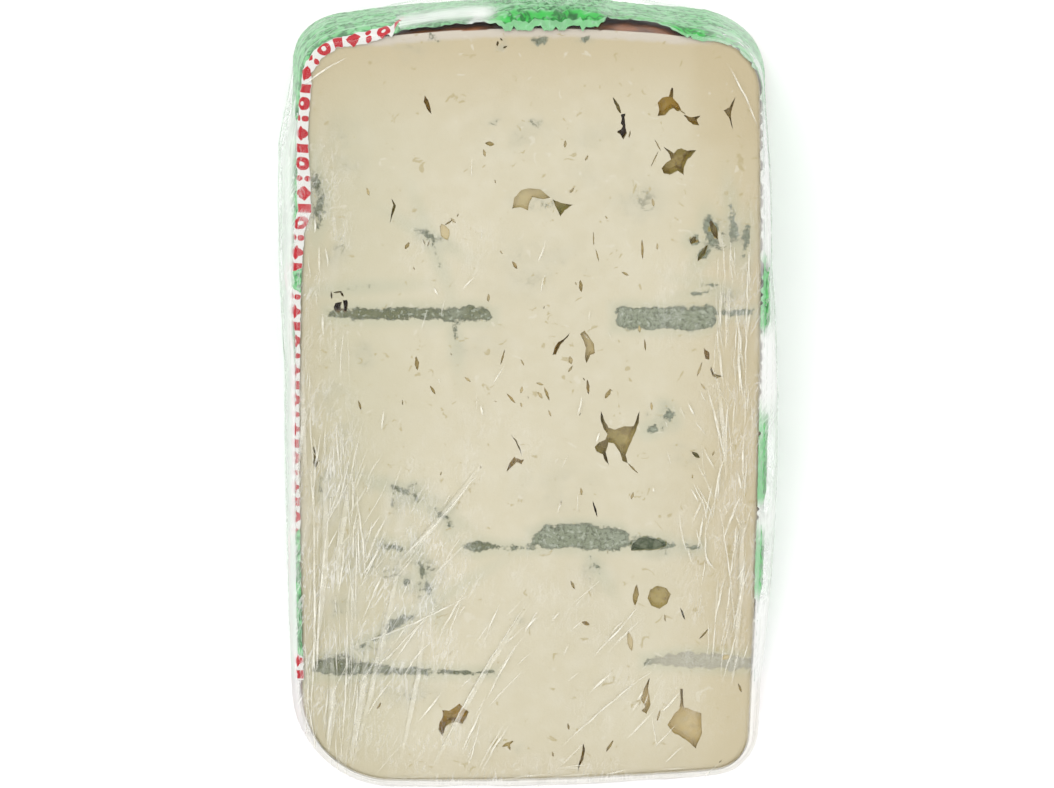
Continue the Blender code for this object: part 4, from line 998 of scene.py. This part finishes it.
def filmMaterial():
    material, tree, bsdf = newMaterial("clingFilm")
    coords = node(tree, "TexCoord", output=3)
    milky, away, below = (attribute(tree, name) for name in ("milky", "away", "below"))
    clear = node(tree, "BsdfTransparent", {"Color": (1, 1, 1, 1)})
    gloss = node(tree, "BsdfGlossy", {"Color": (1, 1, 1, 1), "Roughness": 0.16})
    facing = node(tree, "LayerWeight", {"Blend": 0.5}, output=1)
    shine = maths(tree, "ADD", maths(tree, "MULTIPLY", maths(tree, "POWER", facing, 4.0), 0.12), 0.014)
    skin = node(tree, "MixShader", {0: shine, 1: clear, 2: gloss})
    # stretch lines that run along the walls
    place = node(tree, "SeparateXYZ", {0: coords})
    around = maths(tree, "MULTIPLY", maths(tree, "ADD", place, place.node.outputs[1]), 60)
    lines = node(tree, "CombineXYZ", {0: maths(tree, "MULTIPLY", below, 1.6), 1: maths(tree, "MULTIPLY", away, 1.6), 2: around})
    streak = grain(tree, lines, 1.0, 4, 0.6)
    fill(tree, bsdf.inputs["Base Color"], mixed(tree, between(tree, streak, 0.3, 0.5), (0.92, 0.91, 0.88, 1), (0.98, 0.98, 0.97, 1)))
    bsdf.inputs["Roughness"].default_value = 0.4
    veil = maths(tree, "MULTIPLY", milky, between(tree, streak, 0.3, 0.6, 0.85, 1.12), clamp=True)
    # fine crinkles over the face, nearly upright and slanting, painted as white lines and soft patches: partly whitened
    # creased film, partly painted highlight
    crinkle = attribute(tree, "crinkle")
    lines = maths(tree, "MAXIMUM", crinkleLines(tree, place.node, 4, 1000, 90), crinkleLines(tree, place.node, -26, 900, 110))
    lines = maths(tree, "MULTIPLY", lines, between(tree, grain(tree, coords, 130, 2), 0.38, 0.6))
    soft = between(tree, crinkleSoft(tree, place.node), 0.45, 0.7, 0, 0.22)
    veil = maths(tree, "ADD", veil, maths(tree, "MULTIPLY", crinkle, maths(tree, "ADD", maths(tree, "MULTIPLY", lines, 0.6), soft)), clamp=True)
    through = node(tree, "BsdfTranslucent", {"Color": (0.97, 0.97, 0.95, 1)})
    milk = node(tree, "MixShader", {0: 0.45, 1: bsdf.outputs[0], 2: through})
    whole = node(tree, "MixShader", {0: maths(tree, "ADD", veil, 0.004, clamp=True), 1: skin, 2: milk})
    tree.links.new(whole, tree.nodes["Material Output"].inputs["Surface"])
    return material


# creases by place on the face: start, end, width (mm), bend
mainCreases = (
    ((-8.5, 65.0), (-24.0, 47.0), 0.45, 0.6), ((0.9, 39.0), (-18.0, 4.5), 0.4, -0.8), ((-8.8, 41.0), (-35.0, 29.0), 0.4, 0.8),
    ((22.0, 38.0), (12.6, 27.0), 0.4, 0.3), ((25.0, 25.0), (7.0, 9.0), 0.4, -0.5), ((34.6, 82.0), (38.5, 66.5), 0.5, 0.2),
    ((42.6, 47.0), (39.5, 31.0), 0.4, 0.3), ((-40.5, 68.0), (-41.5, 8.0), 0.5, 0.8), ((-36.0, 66.0), (-40.0, 20.0), 0.4, -0.8),
    ((-34.0, 40.0), (-35.5, 6.0), 0.4, 0.5), ((42.8, 112.0), (42.2, 78.0), 0.4, -0.4), ((37.0, 60.0), (41.0, 28.0), 0.35, 0.4),
    ((-15.0, 40.0), (-30.0, 24.0), 0.3, 0.4), ((-42.0, 140.0), (-33.0, 146.0), 0.4, 0.3), ((38.0, 145.0), (44.0, 132.0), 0.4, 0.4),
)
# wide soft folds, drawn with the creases: start, end, width, bend
softFolds = (
    ((-38.0, 64.0), (-40.0, 28.0), 1.5, 0.7), ((-32.5, 66.0), (-36.0, 40.0), 1.3, -0.6), ((-30.0, 32.0), (-34.0, 5.0), 1.4, 0.5),
    ((-23.0, 50.0), (-28.5, 20.0), 1.1, -0.5), ((-37.0, 28.0), (-38.0, 8.0), 1.6, 0.4), ((-8.0, 66.5), (-25.0, 45.5), 1.4, 0.6),
    ((-26.0, 40.0), (-32.0, 10.0), 1.2, 0.4), ((-42.0, 90.0), (-41.5, 62.0), 1.2, -0.4), ((36.5, 84.0), (38.6, 62.0), 1.0, 0.3),
    ((1.5, 39.0), (-17.5, 5.0), 1.1, -0.8), ((41.8, 60.0), (40.5, 24.0), 1.2, 0.3), ((-19.0, 36.0), (-24.0, 6.0), 1.1, 0.5),
)
# families of small creases: middle, spread, direction in degrees and its spread, how many, lengths
creaseFamilies = (
    ((-37, 38), (6, 34), 88, 12, 70, (5, 18)), ((-24, 44), (13, 22), 60, 16, 44, (3, 12)), ((-14, 20), (14, 16), 60, 12, 18, (4, 14)),
    ((4, 34), (10, 8), 50, 14, 12, (2, 8)), ((18, 20), (12, 14), 48, 12, 9, (3, 11)), ((40, 86), (4, 26), 92, 8, 40, (4, 15)),
    ((38, 44), (5, 20), 80, 12, 34, (4, 12)), ((34, 64), (8, 18), 112, 14, 22, (2, 9)), ((-38, 92), (5, 28), 90, 10, 18, (3, 10)),
    ((0, 3), (34, 2.5), 3, 8, 12, (4, 12)), ((30, 12), (10, 10), 70, 25, 6, (2, 8)), ((0, 90), (30, 40), 75, 40, 24, (1, 5)),
)


def creaseMesh():
    rng = random.Random(4)
    folds = [(a, b, width, bend, 1.0) for a, b, width, bend in mainCreases]
    folds += [(a, b, width, bend, 0.5) for a, b, width, bend in softFolds]
    for (cx, cy), (sx, sy), direction, spreadOf, count, lengths in creaseFamilies:
        for _ in range(count):
            x, y = rng.uniform(-1, 1) * sx + cx, rng.uniform(-1, 1) * sy + cy
            turn = math.radians(direction + rng.gauss(0, spreadOf * 0.5))
            half = rng.uniform(*lengths) / 2
            dx, dy = math.cos(turn) * half, math.sin(turn) * half
            folds.append(((x - dx, y - dy), (x + dx, y + dy), rng.uniform(0.16, 0.5), rng.uniform(-1, 1) * half * 0.07, rng.uniform(0.4, 1.1)))
    bm = bmesh.new()
    strength, lit = (bm.verts.layers.float.new(name) for name in ("strength", "lit"))
    ring = outline()[0]
    for number, (start, end, width, bend, power) in enumerate(folds):
        start, end = np.array(start), np.array(end)
        length = np.linalg.norm(end - start)
        steps = max(6, int(length / 0.9))
        before = len(bm.verts)
        bmesh.ops.create_grid(bm, x_segments=2, y_segments=steps, size=1.0)
        bm.verts.ensure_lookup_table()
        made = bm.verts[before:]
        ahead = (end - start) / length
        sideways = np.array([-ahead[1], ahead[0]])
        places, strengths = [], []
        for v in made:
            w = (v.co.y + 1) / 2
            fade = max(math.sin(math.pi * w), 0) ** 0.7
            wobble = bend * math.sin(math.pi * w) + 0.18 * noise.noise(Vector((w * length / 2.5, number * 3.1, 0)))
            spot = start + (end - start) * w + sideways * (wobble + v.co.x * width / 2 * (0.25 + 0.75 * fade))
            places.append((*spot, film["lift"] + 0.06 + (0.16 * fade if abs(v.co.x) < 0.5 else -0.02)))
            strengths.append(fade * power * (0.75 + 0.5 * noise.noise(Vector((w * length / 3, number, 5)))))
        places = np.array(places) * mm
        places[insideBy(places[:, 0], places[:, 1], ring) < 0, 2] -= 0.3 * mm
        for v, co, much in zip(made, onFace(*places.T), strengths):
            v[strength], v[lit] = much, v.co.x
            v.co = co
    return meshFrom(bm, "creases")


def creaseMaterial():
    material, tree, bsdf = newMaterial("filmFold")
    coords = node(tree, "TexCoord", output=3)
    bsdf.inputs["Roughness"].default_value = 0.3
    # each fold is painted cream on one side, partly the whiter doubled film and partly painted highlight, and grey
    # olive on the other side as painted shade
    bright = mixed(tree, grain(tree, coords, 200, 2), (0.95, 0.94, 0.86, 1), (0.86, 0.84, 0.72, 1))
    lit = attribute(tree, "lit")
    fill(tree, bsdf.inputs["Base Color"], mixed(tree, between(tree, lit, -0.9, -0.2), srgb(170, 164, 136), bright))
    broken = between(tree, grain(tree, coords, 420, 3), 0.3, 0.6, 0.4, 1.0)
    fill(tree, bsdf.inputs["Alpha"], maths(tree, "MULTIPLY", maths(tree, "MULTIPLY", attribute(tree, "strength"), broken), 0.8, clamp=True))
    return material


def buildFilm():
    skin = newObject("filmWrap", filmSkin(), filmMaterial())
    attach(skin, "root")
    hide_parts("film")
    folds = newObject("filmFolds", creaseMesh(), creaseMaterial())
    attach(folds, "root")
    print("film:", len(skin.data.polygons), "faces, folds", len(folds.data.polygons))


buildFilm()

# ---- camera, light and floor

shot = dict(height=1.300, across=-0.0003, along=0.0003, lens=228.8)
camera = bpy.data.objects.new("camera", bpy.data.cameras.new("camera"))
bpy.context.scene.collection.objects.link(camera)
camera.location = (shot["across"], shot["along"], shot["height"])
camera.data.sensor_width = 36
camera.data.lens = shot["lens"]
camera.data.clip_end = 10
bpy.context.scene.camera = camera

light = dict(dome=1.3, keyPower=4.5, keySize=0.9, keyPlace=(-0.55, 0.65, 1.2))
world = bpy.data.worlds.new("studio")
bpy.context.scene.world = world
world.use_nodes = True
world.node_tree.nodes["Background"].inputs["Color"].default_value = (1, 1, 1, 1)
world.node_tree.nodes["Background"].inputs["Strength"].default_value = light["dome"]
key = bpy.data.objects.new("key", bpy.data.lights.new("key", "AREA"))
bpy.context.scene.collection.objects.link(key)
key.data.energy = light["keyPower"]
key.data.size = light["keySize"]
key.location = light["keyPlace"]
key.rotation_euler = (-Vector(light["keyPlace"])).to_track_quat("-Z", "Y").to_euler()

bm = bmesh.new()
bmesh.ops.create_grid(bm, x_segments=1, y_segments=1, size=3.0)
floorMaterial, floorTree, floorBsdf = newMaterial("floor")
floorBsdf.inputs["Base Color"].default_value = (0.985, 0.975, 0.985, 1)
floorBsdf.inputs["Roughness"].default_value = 0.9
floor = newObject("floor", meshFrom(bm, "floor"), floorMaterial)
